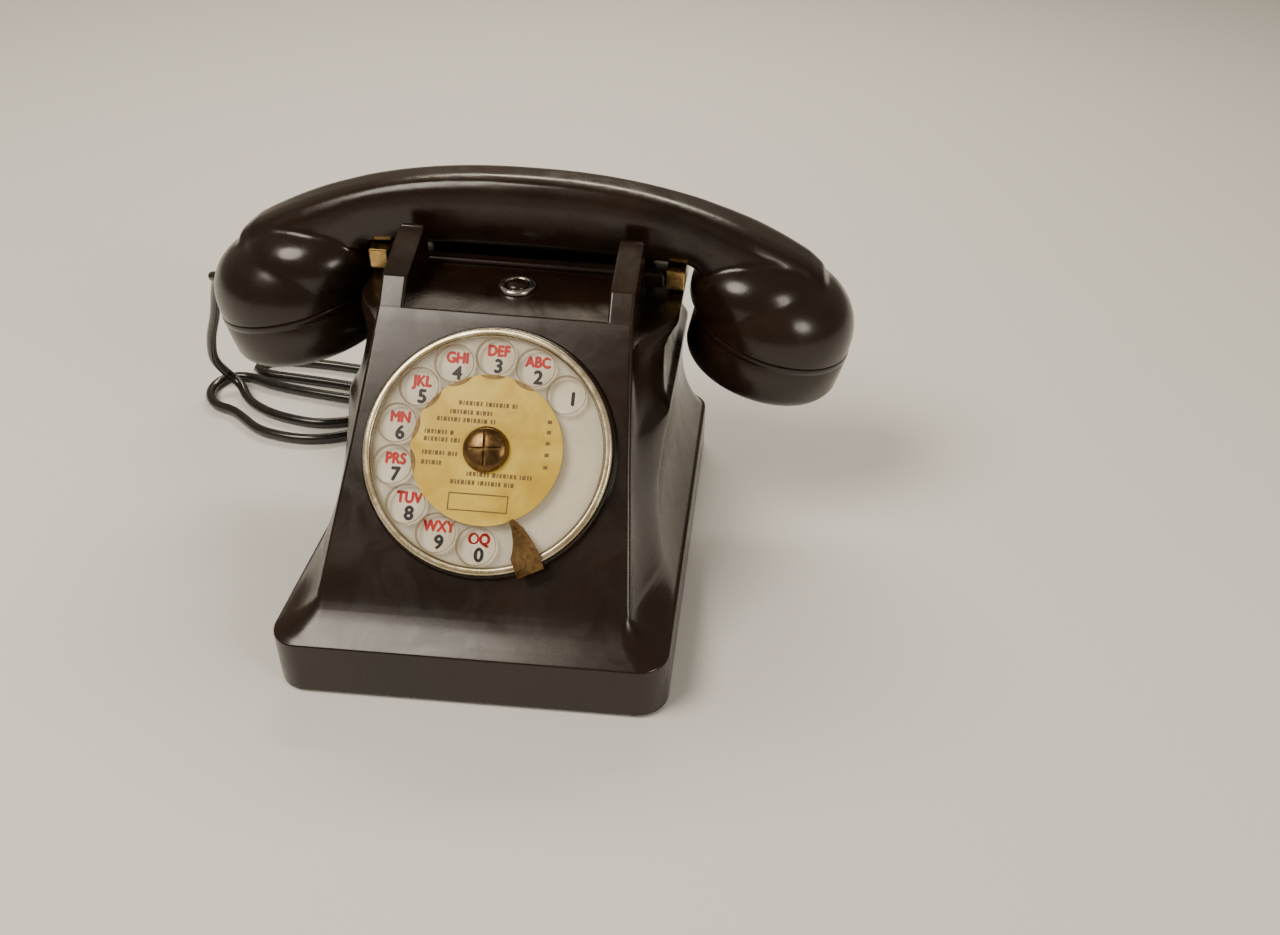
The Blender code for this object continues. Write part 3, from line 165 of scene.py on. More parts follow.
def ramp(tree, value, stops):
    node = tree.nodes.new("ShaderNodeValToRGB")
    elements = node.color_ramp.elements
    while len(elements) < len(stops):
        elements.new(0.5)
    for element, (position, colour) in zip(elements, stops):
        element.position = position
        element.color = (*colour, 1)
    tree.links.new(value, node.inputs["Fac"])
    return node.outputs["Color"]


def span(tree, value, low, high, out_low, out_high):
    node = tree.nodes.new("ShaderNodeMapRange")
    for key, number in (("From Min", low), ("From Max", high), ("To Min", out_low), ("To Max", out_high)):
        node.inputs[key].default_value = number
    tree.links.new(value, node.inputs["Value"])
    return node.outputs["Result"]


def add_bump(tree, shader, value, strength, distance):
    node = tree.nodes.new("ShaderNodeBump")
    node.inputs["Strength"].default_value = strength
    node.inputs["Distance"].default_value = distance
    tree.links.new(value, node.inputs["Height"])
    tree.links.new(node.outputs["Normal"], shader.inputs["Normal"])


def worn_material(
    name, dark, light, rough, patch=60.0, metallic=0.0, bump=0.02, grain=900.0, stretch=(1, 1, 1), coat=None
):
    """Colour that drifts between two tones, roughness that varies with handling, and a fine surface grain."""
    material, shader, tree = new_material(name, light, rough[0], metallic)
    vector = coordinates(tree, stretch)
    patches = noise_value(tree, vector, patch, 5.0, 0.6, 0.4)
    tree.links.new(ramp(tree, patches, [(0.32, dark), (0.68, light)]), shader.inputs["Base Color"])
    smears = noise_value(tree, vector, patch * 2.3, 3.0, 0.6, 1.2)
    tree.links.new(span(tree, smears, 0.35, 0.7, *rough), shader.inputs["Roughness"])
    add_bump(tree, shader, noise_value(tree, vector, grain, 2.0), bump, 0.0002)
    if coat:
        shader.inputs["Coat Weight"].default_value, shader.inputs["Coat Roughness"].default_value = coat
    return material


# Key: name, dark and light colour, roughness range, patch scale, metallic, bump, grain scale, stretch, coat.
WORN_AND_SHADE = {
    "bakelite": (
        "bakelite", (0.0075, 0.0032, 0.0014), (0.0185, 0.0085, 0.0036), (0.20, 0.32),
        26.0, 0.0, 0.05, 420.0, (1, 1, 1), (0.15, 0.16),
    ),
    "cord": (
        "cord_sheath", (0.008, 0.007, 0.006), (0.022, 0.018, 0.015), (0.16, 0.30),
        110.0, 0.0, 0.10, 700.0, (1, 1, 1), (0.3, 0.15),
    ),
    "steel": (
        "steel", (0.36, 0.35, 0.33), (0.58, 0.57, 0.54), (0.28, 0.45),
        90.0, 1.0, 0.12, 1500.0, (1, 6, 1),
    ),
    # Brass for the brass pieces; on the block at the cradle bar's end it is a painted reflection of warm
    # light on the black bar.
    "brass": ("brass", (0.33, 0.20, 0.07), (0.66, 0.47, 0.20), (0.20, 0.38), 120.0, 1.0, 0.08, 1300.0),
    "bronze": ("bronze", (0.085, 0.045, 0.016), (0.27, 0.165, 0.065), (0.24, 0.42), 150.0, 0.9, 0.10, 1300.0),
    "nickel": ("nickel", (0.42, 0.40, 0.36), (0.72, 0.70, 0.65), (0.12, 0.28), 160.0, 1.0, 0.05, 1500.0),
    "rubber": ("rubber", (0.012, 0.011, 0.010), (0.030, 0.027, 0.024), (0.5, 0.7), 150.0),
    "enamel": ("cream_enamel", (0.74, 0.66, 0.50), (0.92, 0.87, 0.74), (0.20, 0.34), 45.0, 0.0, 0.03),
    "paper": ("yellow_card", (0.60, 0.38, 0.035), (0.86, 0.64, 0.11), (0.45, 0.62), 70.0, 0.0, 0.15, 1800.0),
    "print": ("card_print", (0.10, 0.055, 0.014), (0.26, 0.16, 0.04), (0.5, 0.6), 900.0),
    # Painted shade for the card, laid as brown crescents beside the finger holes.
    "hole_shade": ("card_shade", (0.16, 0.09, 0.025), (0.38, 0.24, 0.07), (0.5, 0.6), 300.0),
    "digit": ("digit_black", (0.004, 0.004, 0.004), (0.012, 0.011, 0.010), (0.4, 0.5), 600.0),
    "letter": ("letter_red", (0.42, 0.006, 0.004), (0.62, 0.016, 0.010), (0.4, 0.5), 600.0),
    "copper": (
        "copper_winding", (0.20, 0.06, 0.02), (0.50, 0.20, 0.08), (0.3, 0.5),
        200.0, 0.5, 0.5, 1400.0, (1, 12, 1),
    ),
    "board": ("insulating_board", (0.20, 0.11, 0.05), (0.38, 0.23, 0.12), (0.55, 0.75), 120.0, 0.0, 0.15),
    "rim": ("pale_rim", (0.50, 0.41, 0.24), (0.80, 0.72, 0.52), (0.18, 0.34), 120.0, 0.8, 0.08, 1300.0),
}


def make_materials():
    made = {key: worn_material(*settings) for key, settings in WORN_AND_SHADE.items()}
    made["bakelite"].node_tree.nodes["Principled BSDF"].inputs["IOR"].default_value = 1.46
    made["wheel"] = clear_plastic("clear_wheel", 0.14)
    # Darker, more opaque brown on the holes' walls and the rim: painted shade for the dark outline round each
    # finger hole.
    made["wheel_edge"] = clear_plastic("clear_wheel_edge", 0.8, (0.22, 0.165, 0.085), (0.40, 0.32, 0.19))
    return made


def clear_plastic(name, alpha, dull=(0.78, 0.72, 0.55), bright=(0.95, 0.92, 0.82)):
    material, shader, tree = new_material(name, (0.86, 0.82, 0.70), 0.06)
    shader.inputs["IOR"].default_value = 2.1
    shader.inputs["Alpha"].default_value = alpha
    vector = coordinates(tree)
    haze = noise_value(tree, vector, 80.0, 4.0)
    tree.links.new(ramp(tree, haze, [(0.3, dull), (0.7, bright)]), shader.inputs["Base Color"])
    tree.links.new(span(tree, haze, 0.3, 0.7, 0.04, 0.14), shader.inputs["Roughness"])
    return material


# --- mesh helpers -----------------------------------------------------------------------------------------


def mesh_from(name, bm, sharp=32.0):
    mesh = bpy.data.meshes.new(name)
    bmesh.ops.recalc_face_normals(bm, faces=bm.faces)
    bm.to_mesh(mesh)
    bm.free()
    mesh.shade_smooth()
    mesh.set_sharp_from_angle(angle=math.radians(sharp))
    return mesh


def show(name, mesh, body, materials, *replaced, slot=None):
    """The mesh as a piece on a body, in place of CAD nodes."""
    obj = bpy.data.objects.new(name, mesh)
    bpy.context.scene.collection.objects.link(obj)
    for material in materials:
        mesh.materials.append(material)
    if body:
        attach(obj, body)
    if replaced:
        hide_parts(*replaced)
    return obj


def to_row(bm, matrix):
    """From millimetres in a local frame to metres in the row frame."""
    bmesh.ops.transform(bm, matrix=matrix @ Matrix.Scale(MM, 4), verts=bm.verts)
    return bm


def revolve(profile, steps, centre=(0, 0), ring=False):
    """(radius, height) points turned about Z. A radius of 0 gives one point, and ring closes the profile."""
    bm = bmesh.new()
    turns = [2 * math.pi * i / steps for i in range(steps)]
    rows = []
    for radius, height in profile:
        spots = [(radius * math.cos(t), radius * math.sin(t)) for t in turns] if radius else [(0, 0)]
        rows.append([bm.verts.new((centre[0] + x, centre[1] + y, height)) for x, y in spots])
    pairs = list(zip(rows, rows[1:]))
    if ring:
        pairs.append((rows[-1], rows[0]))
    for upper, lower in pairs:
        for i in range(steps):
            j = (i + 1) % steps
            corners = [(upper, i), (lower, i), (lower, j), (upper, j)]
            unique = list(dict.fromkeys(row[k % len(row)] for row, k in corners))
            if len(unique) > 2:
                bm.faces.new(unique)
    return bm


def loft(rings, bm=None):
    bm = bm or bmesh.new()
    layers = [[bm.verts.new(point) for point in ring] for ring in rings]
    for lower, upper in zip(layers, layers[1:]):
        for i in range(len(lower)):
            j = (i + 1) % len(lower)
            bm.faces.new((lower[i], lower[j], upper[j], upper[i]))
    bm.faces.new(reversed(layers[0]))
    bm.faces.new(layers[-1])
    return bm


def slab(outline, low, high, bm=None):
    """A flat polygon given a thickness."""
    return loft([[(x, y, low) for x, y in outline], [(x, y, high) for x, y in outline]], bm)


def round_rectangle(x0, x1, y0, y1, radius):
    """An outline with each corner rounded in four steps."""
    steps, points = 4, []
    for x, y, start in ((x1, y0, -90), (x1, y1, 0), (x0, y1, 90), (x0, y0, 180)):
        centre = (x - math.copysign(radius, x - (x0 + x1) / 2), y - math.copysign(radius, y - (y0 + y1) / 2))
        for i in range(steps + 1):
            turn = math.radians(start + 90 * i / steps)
            points.append((centre[0] + radius * math.cos(turn), centre[1] + radius * math.sin(turn)))
    return points


def evaluated_mesh(obj):
    bpy.context.view_layer.update()
    return bpy.data.meshes.new_from_object(obj.evaluated_get(bpy.context.evaluated_depsgraph_get()))


def solve(base, operation, *others):
    """Boolean of bmeshes, one after another. Returns a bmesh."""
    current = temporary("base", base)
    for other in others:
        cutter = temporary("other", other)
        modifier = current.modifiers.new("boolean", "BOOLEAN")
        modifier.operation = operation
        modifier.solver = "EXACT"
        modifier.object = cutter
        mesh = evaluated_mesh(current)
        current.modifiers.clear()
        current.data = mesh
        bpy.data.objects.remove(cutter)
    bm = bmesh.new()
    bm.from_mesh(current.data)
    bpy.data.objects.remove(current)
    return bm


def temporary(name, bm):
    bmesh.ops.recalc_face_normals(bm, faces=bm.faces)
    mesh = bpy.data.meshes.new(name)
    bm.to_mesh(mesh)
    bm.free()
    obj = bpy.data.objects.new(name, mesh)
    bpy.context.scene.collection.objects.link(obj)
    return obj


def smooth_line(points, count):
    """Points on the smooth curve through the given ones, count to each stretch."""
    ends = [points[0] * 2 - points[1], *points, points[-1] * 2 - points[-2]]
    fine = []
    for a, b, c, d in zip(ends, ends[1:], ends[2:], ends[3:]):
        for i in range(count):
            t = i / count
            bend = (2 * a - 5 * b + 4 * c - d) * t**2 + (3 * b - 3 * c + d - a) * t**3
            fine.append((2 * b + (c - a) * t + bend) / 2)
    fine.append(points[-1])
    return fine


def even_line(points, step):
    lengths = [0.0]
    for a, b in zip(points, points[1:]):
        lengths.append(lengths[-1] + (b - a).length)
    count = max(2, round(lengths[-1] / step))
    path, spot = [], 0
    for i in range(count + 1):
        wanted = lengths[-1] * i / count
        while spot < len(points) - 2 and lengths[spot + 1] < wanted:
            spot += 1
        part = (wanted - lengths[spot]) / (lengths[spot + 1] - lengths[spot])
        path.append(points[spot].lerp(points[spot + 1], min(part, 1.0)))
    return path


# --- cord -------------------------------------------------------------------------------------------------

CORD_RADIUS = 2.0
BUSH_REACH, BUSH_HEIGHT = 37, 5
GLAND_OFFSET, GLAND_BACK, GLAND_HEIGHT = 36, 161.5, 12
BUSH_TURN = math.radians(165)
CORD_ROUTE = [
    (-129.5, 142, 70.5), (-134, 147.5, 61), (-140, 154, 47), (-147, 160, 32), (-151, 165.5, 18),
    (-149, 170, 8), (-143.5, 168.5, 3.4), (-138, 161.5, 2.2), (-131.7, 155.6, 2.2), (-120, 149.5, 2.2),
    (-104, 146, 2.2), (-93, 147.5, 2.2), (-86, 151, 2.2), (-79.5, 156, 2.2), (-79, 160.5, 2.2),
    (-86, 165, 2.2), (-98, 166.5, 2.2), (-115, 169, 2.2), (-131, 172.5, 2.2), (-143, 177, 2.2),
    (-152, 175, 2.2), (-155, 168, 2.2), (-153.5, 160, 2.2), (-148, 153.5, 2.2), (-138.5, 149.5, 2.2),
    (-125, 139, 2.2), (-115, 135.3, 2.2), (-104, 134, 2.2), (-94, 135.5, 2.2), (-84.6, 140, 2.2),
    (-75.5, 147, 2.2), (-70, 156, 2.2), (-69.5, 164, 2.2), (-75, 170, 2.2), (-86, 174, 2.2),
    (-104, 177, 2.2), (-122, 179, 2.2), (-135, 180.5, 2.2), (-142, 184, 2.2), (-140, 190, 2.2),
    (-130, 192.5, 2.2), (-112, 192, 2.2), (-92, 190, 2.2), (-70, 190, 2.2), (-48, 193, 2.2),
    (-26, 194, 2.2), (-8, 191, 2.2), (0, 184, 2.2), (-6, 177, 2.2), (-18, 175.5, 2.2), (-28, 176, 2.4),
    (-34.5, 173, 4.5), (-36, 168.5, 9),
]


def bush_line():
    """Where the cord bush ends and which way it points, in the row frame."""
    out = Vector((math.cos(BUSH_TURN), math.sin(BUSH_TURN), 0))
    tip = MOUTH @ ((out * BUSH_REACH + Vector((0, 0, BUSH_HEIGHT))) * MM)
    return tip, (MOUTH.to_3x3() @ out).normalized()


def tube(path, radius, sides):
    """A round tube along a path of row-frame points, its rings kept from twisting."""
    bm = bmesh.new()
    ahead = (path[1] - path[0]).normalized()
    across = ahead.orthogonal().normalized()
    turns = [2 * math.pi * k / sides for k in range(sides)]
    rings = []
    for i, point in enumerate(path):
        along = (path[min(i + 1, len(path) - 1)] - path[max(i - 1, 0)]).normalized()
        across = (across - along * across.dot(along)).normalized()
        up = along.cross(across)
        offsets = [(across * math.cos(t) + up * math.sin(t)) * radius for t in turns]
        rings.append([bm.verts.new(point + offset) for offset in offsets])
    for a, b in zip(rings, rings[1:]):
        for k in range(sides):
            n = (k + 1) % sides
            bm.faces.new((a[k], a[n], b[n], b[k]))
    bm.faces.new(reversed(rings[0]))
    bm.faces.new(rings[-1])
    return bm


def make_cord():
    tip, out = bush_line()
    first = tip + out * 0.3 * MM
    last = FRONT @ Vector((-GLAND_OFFSET * MM, (BASE_DEPTH + 0.1) * MM, GLAND_HEIGHT * MM))
    route = [first, first + out * 3 * MM, *(FRONT @ (Vector(point) * MM) for point in CORD_ROUTE)]
    route += [last + Vector((0, 3 * MM, 0)), last]
    path = even_line(smooth_line(route, 10), 3 * MM)
    mesh = mesh_from("handset_cord_sheath", tube(path, CORD_RADIUS * MM, 14), 50)
    cord = show("handset_cord_sheath", mesh, None, [SKIN["cord"]], "handset_cord", slot="rubber")
    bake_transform(cord)


# --- casing -----------------------------------------------------------------------------------------------

HALF_BASE = 64.0
BAND_HEIGHT = 21.0
COVE_START = 21.5
COVE_TOP = 31.0
BAND_LIP = 1.5
BAND_CORNER = 10.0
DECK_HEIGHT = 100.7
DECK_FRONT = 79.3
DECK_BACK = 112.9
DECK_HALF_WIDTH = 42.6
SHELF_HEIGHT = 93.7
FLANGE = 56.0
REAR_DECK_FRONT = 143.1
REAR_TOP = 155.0
HORN_TOP = DECK_HEIGHT + 15.2
HORN_KINK = DECK_HEIGHT + 7.6
HORN_WIDTH = 8.6
HORN_FOOT = 89.0
WALL, BAND_WALL = 3.2, 4.0
BUTTON_BACK = 98.4
CORNER_RUN = 30
HOOK_BORE_OFFSET, HOOK_BORE_BACK = 22, 116.7
HIDDEN_STEP = 0.05


def face_at(height):
    return DECK_FRONT - (DECK_HEIGHT - height) / math.tan(FACE_ANGLE)


def arc_between(start, end, end_slope, count):
    chord = math.atan2(end[1] - start[1], end[0] - start[0])
    start_slope = 2 * chord - end_slope
    radius = math.dist(start, end) / (2 * math.sin((end_slope - start_slope) / 2))
    points = []
    for i in range(count + 1):
        slope = start_slope + (end_slope - start_slope) * i / count
        along = start[0] + radius * (math.sin(slope) - math.sin(start_slope))
        up = start[1] + radius * (math.cos(start_slope) - math.cos(slope))
        points.append((along, up))
    return points


def interpolate(points, height):
    if height <= points[0][1]:
        return points[0][0]
    for (a, low), (b, high) in zip(points, points[1:]):
        if height <= high:
            return a + (b - a) * (height - low) / (high - low)
    return points[-1][0]


def softened(points, count=5):
    line = smooth_line([Vector((a, b, 0)) for a, b in points], count)
    return [(p.x, p.y) for p in line]


FRONT_COVE = arc_between((BAND_LIP, COVE_START), (face_at(COVE_TOP), COVE_TOP), FACE_ANGLE, 12)
SIDE_ARC = arc_between((BAND_LIP, COVE_START), (10.0, 50.0), math.radians(88), 14)
SIDE_COVE = [(HALF_BASE - a, b) for a, b in SIDE_ARC]
REAR_ARC = arc_between((BAND_LIP, COVE_START), (7.0, 42.0), math.radians(86), 10)
REAR_COVE = [(BASE_DEPTH - a, b) for a, b in REAR_ARC]
FACE_CORNER = [(HALF_BASE - BAND_LIP, COVE_START), (57, 24), (52.6, 27.5), (50.6, COVE_TOP), (49.6, 38)]
FACE_CORNER = softened(FACE_CORNER, 4)
FACE_CORNER += [(46.2, 66), (DECK_HALF_WIDTH, DECK_HEIGHT)]
NECK = softened([(54.0, 50.0), (54.6, 60), (55.7, 66.2), (55.8, 68.6)], 4)
NECK += [(55.5, 69.3)] + softened([(55.0, 69.9), (53.4, 73), (52.3, 79), (52.3, 84), (53.6, 87.6)], 5)
NECK += [(55.4, 90.2), (55.9, 90.7), (FLANGE, 91.2), (FLANGE, 93.2), (FLANGE - 0.15, 93.55)]
NECK += [(FLANGE - 0.5, SHELF_HEIGHT)]
SIDE = SIDE_COVE + NECK[1:]
REAR = REAR_COVE + [(REAR_TOP, SHELF_HEIGHT)]


def smooth_step(t):
    t = min(max(t, 0.0), 1.0)
    return t * t * (3 - 2 * t)


def casing_ring(height, inset=0.0, level=None, shrink=0.0):
    """The outline at a height. Inset takes the wall off it, and shrink rounds the band's edges a little."""
    low = height < COVE_START
    wall = BAND_WALL if low and inset else inset
    if low:
        front, corner, side, rear = shrink, HALF_BASE - shrink, HALF_BASE - shrink, BASE_DEPTH - shrink
    else:
        front = interpolate(FRONT_COVE, height) if height < COVE_TOP else face_at(height)
        corner, side, rear = (interpolate(line, height) for line in (FACE_CORNER, SIDE, REAR))
    front += wall if low else wall / math.sin(FACE_ANGLE)
    corner, side, rear = corner - wall, side - wall, rear - wall
    front_radius = BAND_CORNER if low else interpolate([(BAND_CORNER, COVE_START), (1.6, COVE_TOP)], height)
    points = []
    for i in range(9):
        turn = -math.pi / 2 + math.pi / 2 * i / 8
        x = corner - front_radius + front_radius * math.cos(turn)
        points.append((x, front + front_radius + front_radius * math.sin(turn)))
    for i in range(1, 13):
        x = corner + (side - corner) * smooth_step(i / 12)
        points.append((x, front + front_radius + CORNER_RUN * i / 12))
    for i in range(9):
        turn = math.pi / 2 * i / 8
        x = side - BAND_CORNER + BAND_CORNER * math.cos(turn)
        points.append((x, rear - BAND_CORNER + BAND_CORNER * math.sin(turn)))
    mirrored = [(-x, y) for x, y in reversed(points)]
    return [(x, y, height if level is None else level) for x, y in points + mirrored]


def body_levels():
    heights = {up for _, up in FRONT_COVE + SIDE_COVE + NECK + REAR_COVE}
    heights |= {58.0, 75.0, 81.5, 86.0}
    return sorted(height for height in heights if height >= COVE_START)


def body_shell():
    rings = [casing_ring(1.0, level=0.8, shrink=0.5), casing_ring(1.0, level=1.3)]
    rings += [casing_ring(10.0), casing_ring(20.0)]
    for i in range(1, 5):
        turn = math.pi / 2 * i / 4
        rings.append(casing_ring(20.0, level=20.0 + math.sin(turn), shrink=0.9 * (1 - math.cos(turn))))
    rings += [casing_ring(height) for height in body_levels()]
    return loft(rings)


def deck(front, back):
    """The raised part between a pair of horns. Under the shelf it is a hair inside the body."""
    rings, soften = [], 0.35
    levels = (HORN_FOOT, SHELF_HEIGHT - 0.2, SHELF_HEIGHT + 0.05, 97.0, DECK_HEIGHT - soften, DECK_HEIGHT)
    for height in levels:
        hidden = HIDDEN_STEP if height < SHELF_HEIGHT else 0.0
        eased = soften if height == DECK_HEIGHT else 0.0
        half = interpolate(FACE_CORNER, height) - hidden
        start = (face_at(height) if front is None else front) + hidden + eased
        rings.append([(x, y, height) for x, y in round_rectangle(-half, half, start, back - eased, 1.2)])
    return loft(rings)


def horn_rings(side, sections):
    inner, outer = DECK_HALF_WIDTH - HORN_WIDTH, DECK_HALF_WIDTH - HIDDEN_STEP
    x0, x1 = (inner, outer) if side > 0 else (-outer, -inner)
    return [
        [(x, y, z) for x, y in round_rectangle(x0 + ease, x1 - ease, front, back, max(1.1 - ease, 0.2))]
        for z, front, back, ease in sections
    ]


def front_horn(side):
    back = DECK_BACK - 0.1
    kink, tip = face_at(HORN_KINK), back - 3.2
    sections = [(z, face_at(z) + HIDDEN_STEP, back, 0.0) for z in (HORN_FOOT, DECK_HEIGHT - 0.1)]
    sections.append((DECK_HEIGHT + 0.1, face_at(DECK_HEIGHT + 0.1), back, 0.0))
    sections += [(height, face_at(height), back, 0.0) for height in (104.0, HORN_KINK - 0.35)]
    sections.append((HORN_KINK, kink + 0.12, back, 0.0))
    for part in (0.06, 0.2, 0.4, 0.6, 0.75, 0.86):
        z = HORN_KINK + (HORN_TOP - HORN_KINK) * part
        eased = max(z - (HORN_TOP - 4), 0) / 4
        sections.append((z, kink + (tip - kink) * part, back - 0.6 * eased**2, 0.05 * eased))
    sections.append((HORN_TOP - 0.5, kink + (tip - kink) * 0.93, back - 0.9, 0.15))
    sections.append((HORN_TOP - 0.12, tip - 0.9, back - 1.5, 0.4))
    sections.append((HORN_TOP, tip, back - 2.2, 0.75))
    return loft(horn_rings(side, sections))


def rear_horn(side):
    front, back, top = REAR_DECK_FRONT, REAR_TOP - 0.8, HORN_TOP

    def slope(z):
        return back - (back - front - 3.4) * max(z - DECK_HEIGHT - 1, 0) / (top - DECK_HEIGHT - 1)

    sections = [(HORN_FOOT, front, back, 0.0), (DECK_HEIGHT + 1, front, back, 0.0)]
    sections += [(z, front, slope(z), 0.0) for z in (104.0, 108.0, top - 3)]
    sections.append((top - 1.4, front + 0.4, slope(top - 1.4), 0.05))
    sections.append((top - 0.5, front + 1.2, slope(top - 0.5), 0.3))
    sections.append((top, front + 2.0, front + 3.3, 0.7))
    return loft(horn_rings(side, sections))


def make_casing():
    bm = body_shell()
    parts = [deck(None, DECK_BACK), deck(REAR_DECK_FRONT + 0.4, REAR_TOP - 0.4)]
    parts += [maker(side) for maker in (front_horn, rear_horn) for side in (-1, 1)]
    dial_mm = Matrix.Translation((0, DIAL_FORWARD, DIAL_UP)) @ Matrix.Rotation(FACE_ANGLE, 4, "X")
    profile = [(0, -1.3), (40.2, -1.3), (40.7, -1.4), (41.1, -1.75), (41.4, -2.4), (41.9, -4.0)]
    profile += [(42.2, -6), (0, -6)]
    collar = revolve(profile, 128)
    collar.transform(dial_mm)
    bm = solve(bm, "UNION", *parts, collar)
    inner = [height for height in body_levels() if height < SHELF_HEIGHT - 4.2][::3]
    rings = [casing_ring(1.0, WALL, -1.0), casing_ring(BAND_HEIGHT, WALL)]
    rings.append(casing_ring(COVE_START + 0.1, WALL))
    rings += [casing_ring(height, WALL) for height in inner if height > COVE_START + 1]
    rings.append(casing_ring(SHELF_HEIGHT - WALL, 3.6))
    hollow = loft(rings)
    back, top = DECK_BACK - WALL, DECK_HEIGHT - WALL
    under = [(81.3, 85), (83.3, top), (back, top), (back, 85)]
    deck_hollow = loft([[(x, y, z) for y, z in under] for x in (-30.8, 30.8)])
    dial_hole = revolve([(0, 5), (38.2, 5), (38.2, -30), (0, -30)], 128)
    dial_hole.transform(dial_mm)
    cutters = [hollow, deck_hollow, dial_hole]
    cutters.append(revolve([(0, 105), (5.2, 105), (5.2, 90), (0, 90)], 40, centre=(0, BUTTON_BACK)))
    for side in (-1, 1):
        centre = (side * HOOK_BORE_OFFSET, HOOK_BORE_BACK)
        cutters.append(revolve([(0, 96), (2.6, 96), (2.6, 84), (0, 84)], 24, centre=centre))
        gland = revolve([(0, 5.5), (4.2, 5.5), (4.2, -5.5), (0, -5.5)], 32)
        place = Matrix.Translation((side * GLAND_OFFSET, GLAND_BACK, GLAND_HEIGHT))
        gland.transform(place @ Matrix.Rotation(math.pi / 2, 4, "X"))
        cutters.append(gland)
    bm = solve(bm, "DIFFERENCE", *cutters)
    mesh = mesh_from("casing_moulding", to_row(bm, FRONT), 28)
    casing = show("casing_moulding", mesh, HOUSING, [SKIN["bakelite"]], "casing", slot="bakelite")
    weighted(casing)


def weighted(obj):
    modifier = obj.modifiers.new("even_shading", "WEIGHTED_NORMAL")
    modifier.keep_sharp = True


# --- dial -------------------------------------------------------------------------------------------------

HOLE_CIRCLE = 30.9
HOLE_RADIUS = 6.1
HOLE_TURNS = [math.radians(40 + 25.5 * i) for i in range(10)]
HOLE_PLACES = [(HOLE_CIRCLE * math.cos(t), HOLE_CIRCLE * math.sin(t)) for t in HOLE_TURNS]
PLATE_TOP = -2.2
WHEEL_LOW, WHEEL_HIGH = -1.3, 0.7
RIM_RADIUS = 37.7
CARD_TOP = 1.5
PRINT_THICKNESS = 0.03
STROKE_HALF = 0.72
BOX_LINE = 0.45


def make_finger_wheel():
    """A clear disc with rounded finger holes, and a second material, a darker brown as painted shade, on the
    holes' walls and the rim.
    """
    profile = [(0, WHEEL_HIGH), (RIM_RADIUS - 0.25, WHEEL_HIGH), (RIM_RADIUS, WHEEL_HIGH - 0.25)]
    bm = revolve([*profile, (RIM_RADIUS, WHEEL_LOW), (0, WHEEL_LOW)], 144)
    wide = HOLE_RADIUS + 0.45
    hole = [(0, WHEEL_HIGH + 1), (wide + 0.55, WHEEL_HIGH + 1), (wide, WHEEL_HIGH)]
    hole += [(HOLE_RADIUS + 0.12, WHEEL_HIGH - 0.28), (HOLE_RADIUS, WHEEL_HIGH - 0.6)]
    hole += [(HOLE_RADIUS, WHEEL_LOW - 1), (0, WHEEL_LOW - 1)]
    cutters = [revolve(hole, 56, centre=place) for place in HOLE_PLACES]
    cutters.append(revolve([(0, 2), (2.8, 2), (2.8, -2), (0, -2)], 32))
    bm = solve(bm, "DIFFERENCE", *cutters)
    # Walls, rounded edges and the rim get the painted-shade material; flat faces and the middle stay clear.
    for face in bm.faces:
        middle = face.calc_center_median()
        flat = abs(face.normal.z) > 0.95
        face.material_index = 0 if flat or middle.xy.length < 4 else 1
    mesh = mesh_from("finger_wheel_clear", to_row(bm, DIAL), 35)
    skins = [SKIN["wheel"], SKIN["wheel_edge"]]
    weighted(show("finger_wheel_clear", mesh, "dial", skins, "finger_wheel", slot="clear_wheel"))


def make_bezel():
    profile = [(38.0, 0.1), (38.25, 0.42), (38.6, 0.5), (39.5, 0.5), (39.95, 0.34), (40.2, 0.0)]
    profile += [(40.3, -0.3), (40.1, -1.0), (38.0, -1.0)]
    mesh = mesh_from("dial_rim", to_row(revolve(profile, 160, ring=True), DIAL), 40)
    show("dial_rim", mesh, HOUSING, [SKIN["rim"]], "dial_bezel", slot="brass")


def make_number_plate():
    """The plate with a low raised bead just inside its edge."""
    profile = [(6, PLATE_TOP), (35.6, PLATE_TOP), (36.2, -2.1), (37.0, -2.1), (37.6, -2.16), (37.9, -2.35)]
    profile += [(37.9, -2.9), (6, -2.9)]
    mesh = mesh_from("number_plate_enamel", to_row(revolve(profile, 144, ring=True), DIAL), 40)
    show("number_plate_enamel", mesh, HOUSING, [SKIN["enamel"]], "number_plate", slot="enamel")


def text_mesh(words, thickness=0.05, bold=0.27):
    """Each (word, x, y, size, width) upright about its place. Shifted copies, joined, thicken the strokes."""
    bm = bmesh.new()
    for word, x, y, size, width in words:
        curve = bpy.data.curves.new("label", "FONT")
        curve.body = word
        curve.size = 1.0
        curve.align_x = "CENTER"
        curve.align_y = "CENTER"
        curve.extrude = 0.5
        curve.resolution_u = 4
        obj = bpy.data.objects.new("label", curve)
        bpy.context.scene.collection.objects.link(obj)
        mesh = evaluated_mesh(obj)
        sized = Matrix.Diagonal((size * width, size, thickness, 1))
        copies = []
        for dx, dy in ((0, 0), (bold, 0), (-bold, 0), (0, bold), (0, -bold)):
            copy = bmesh.new()
            copy.from_mesh(mesh)
            copy.transform(Matrix.Translation((x + dx, y + dy, 0)) @ sized)
            bmesh.ops.remove_doubles(copy, verts=copy.verts, dist=0.0005)
            copies.append(copy)
        thick = solve(copies[0], "UNION", *copies[1:])
        thick.to_mesh(mesh)
        bm.from_mesh(mesh)
        thick.free()
        bpy.data.objects.remove(obj)
    return bm


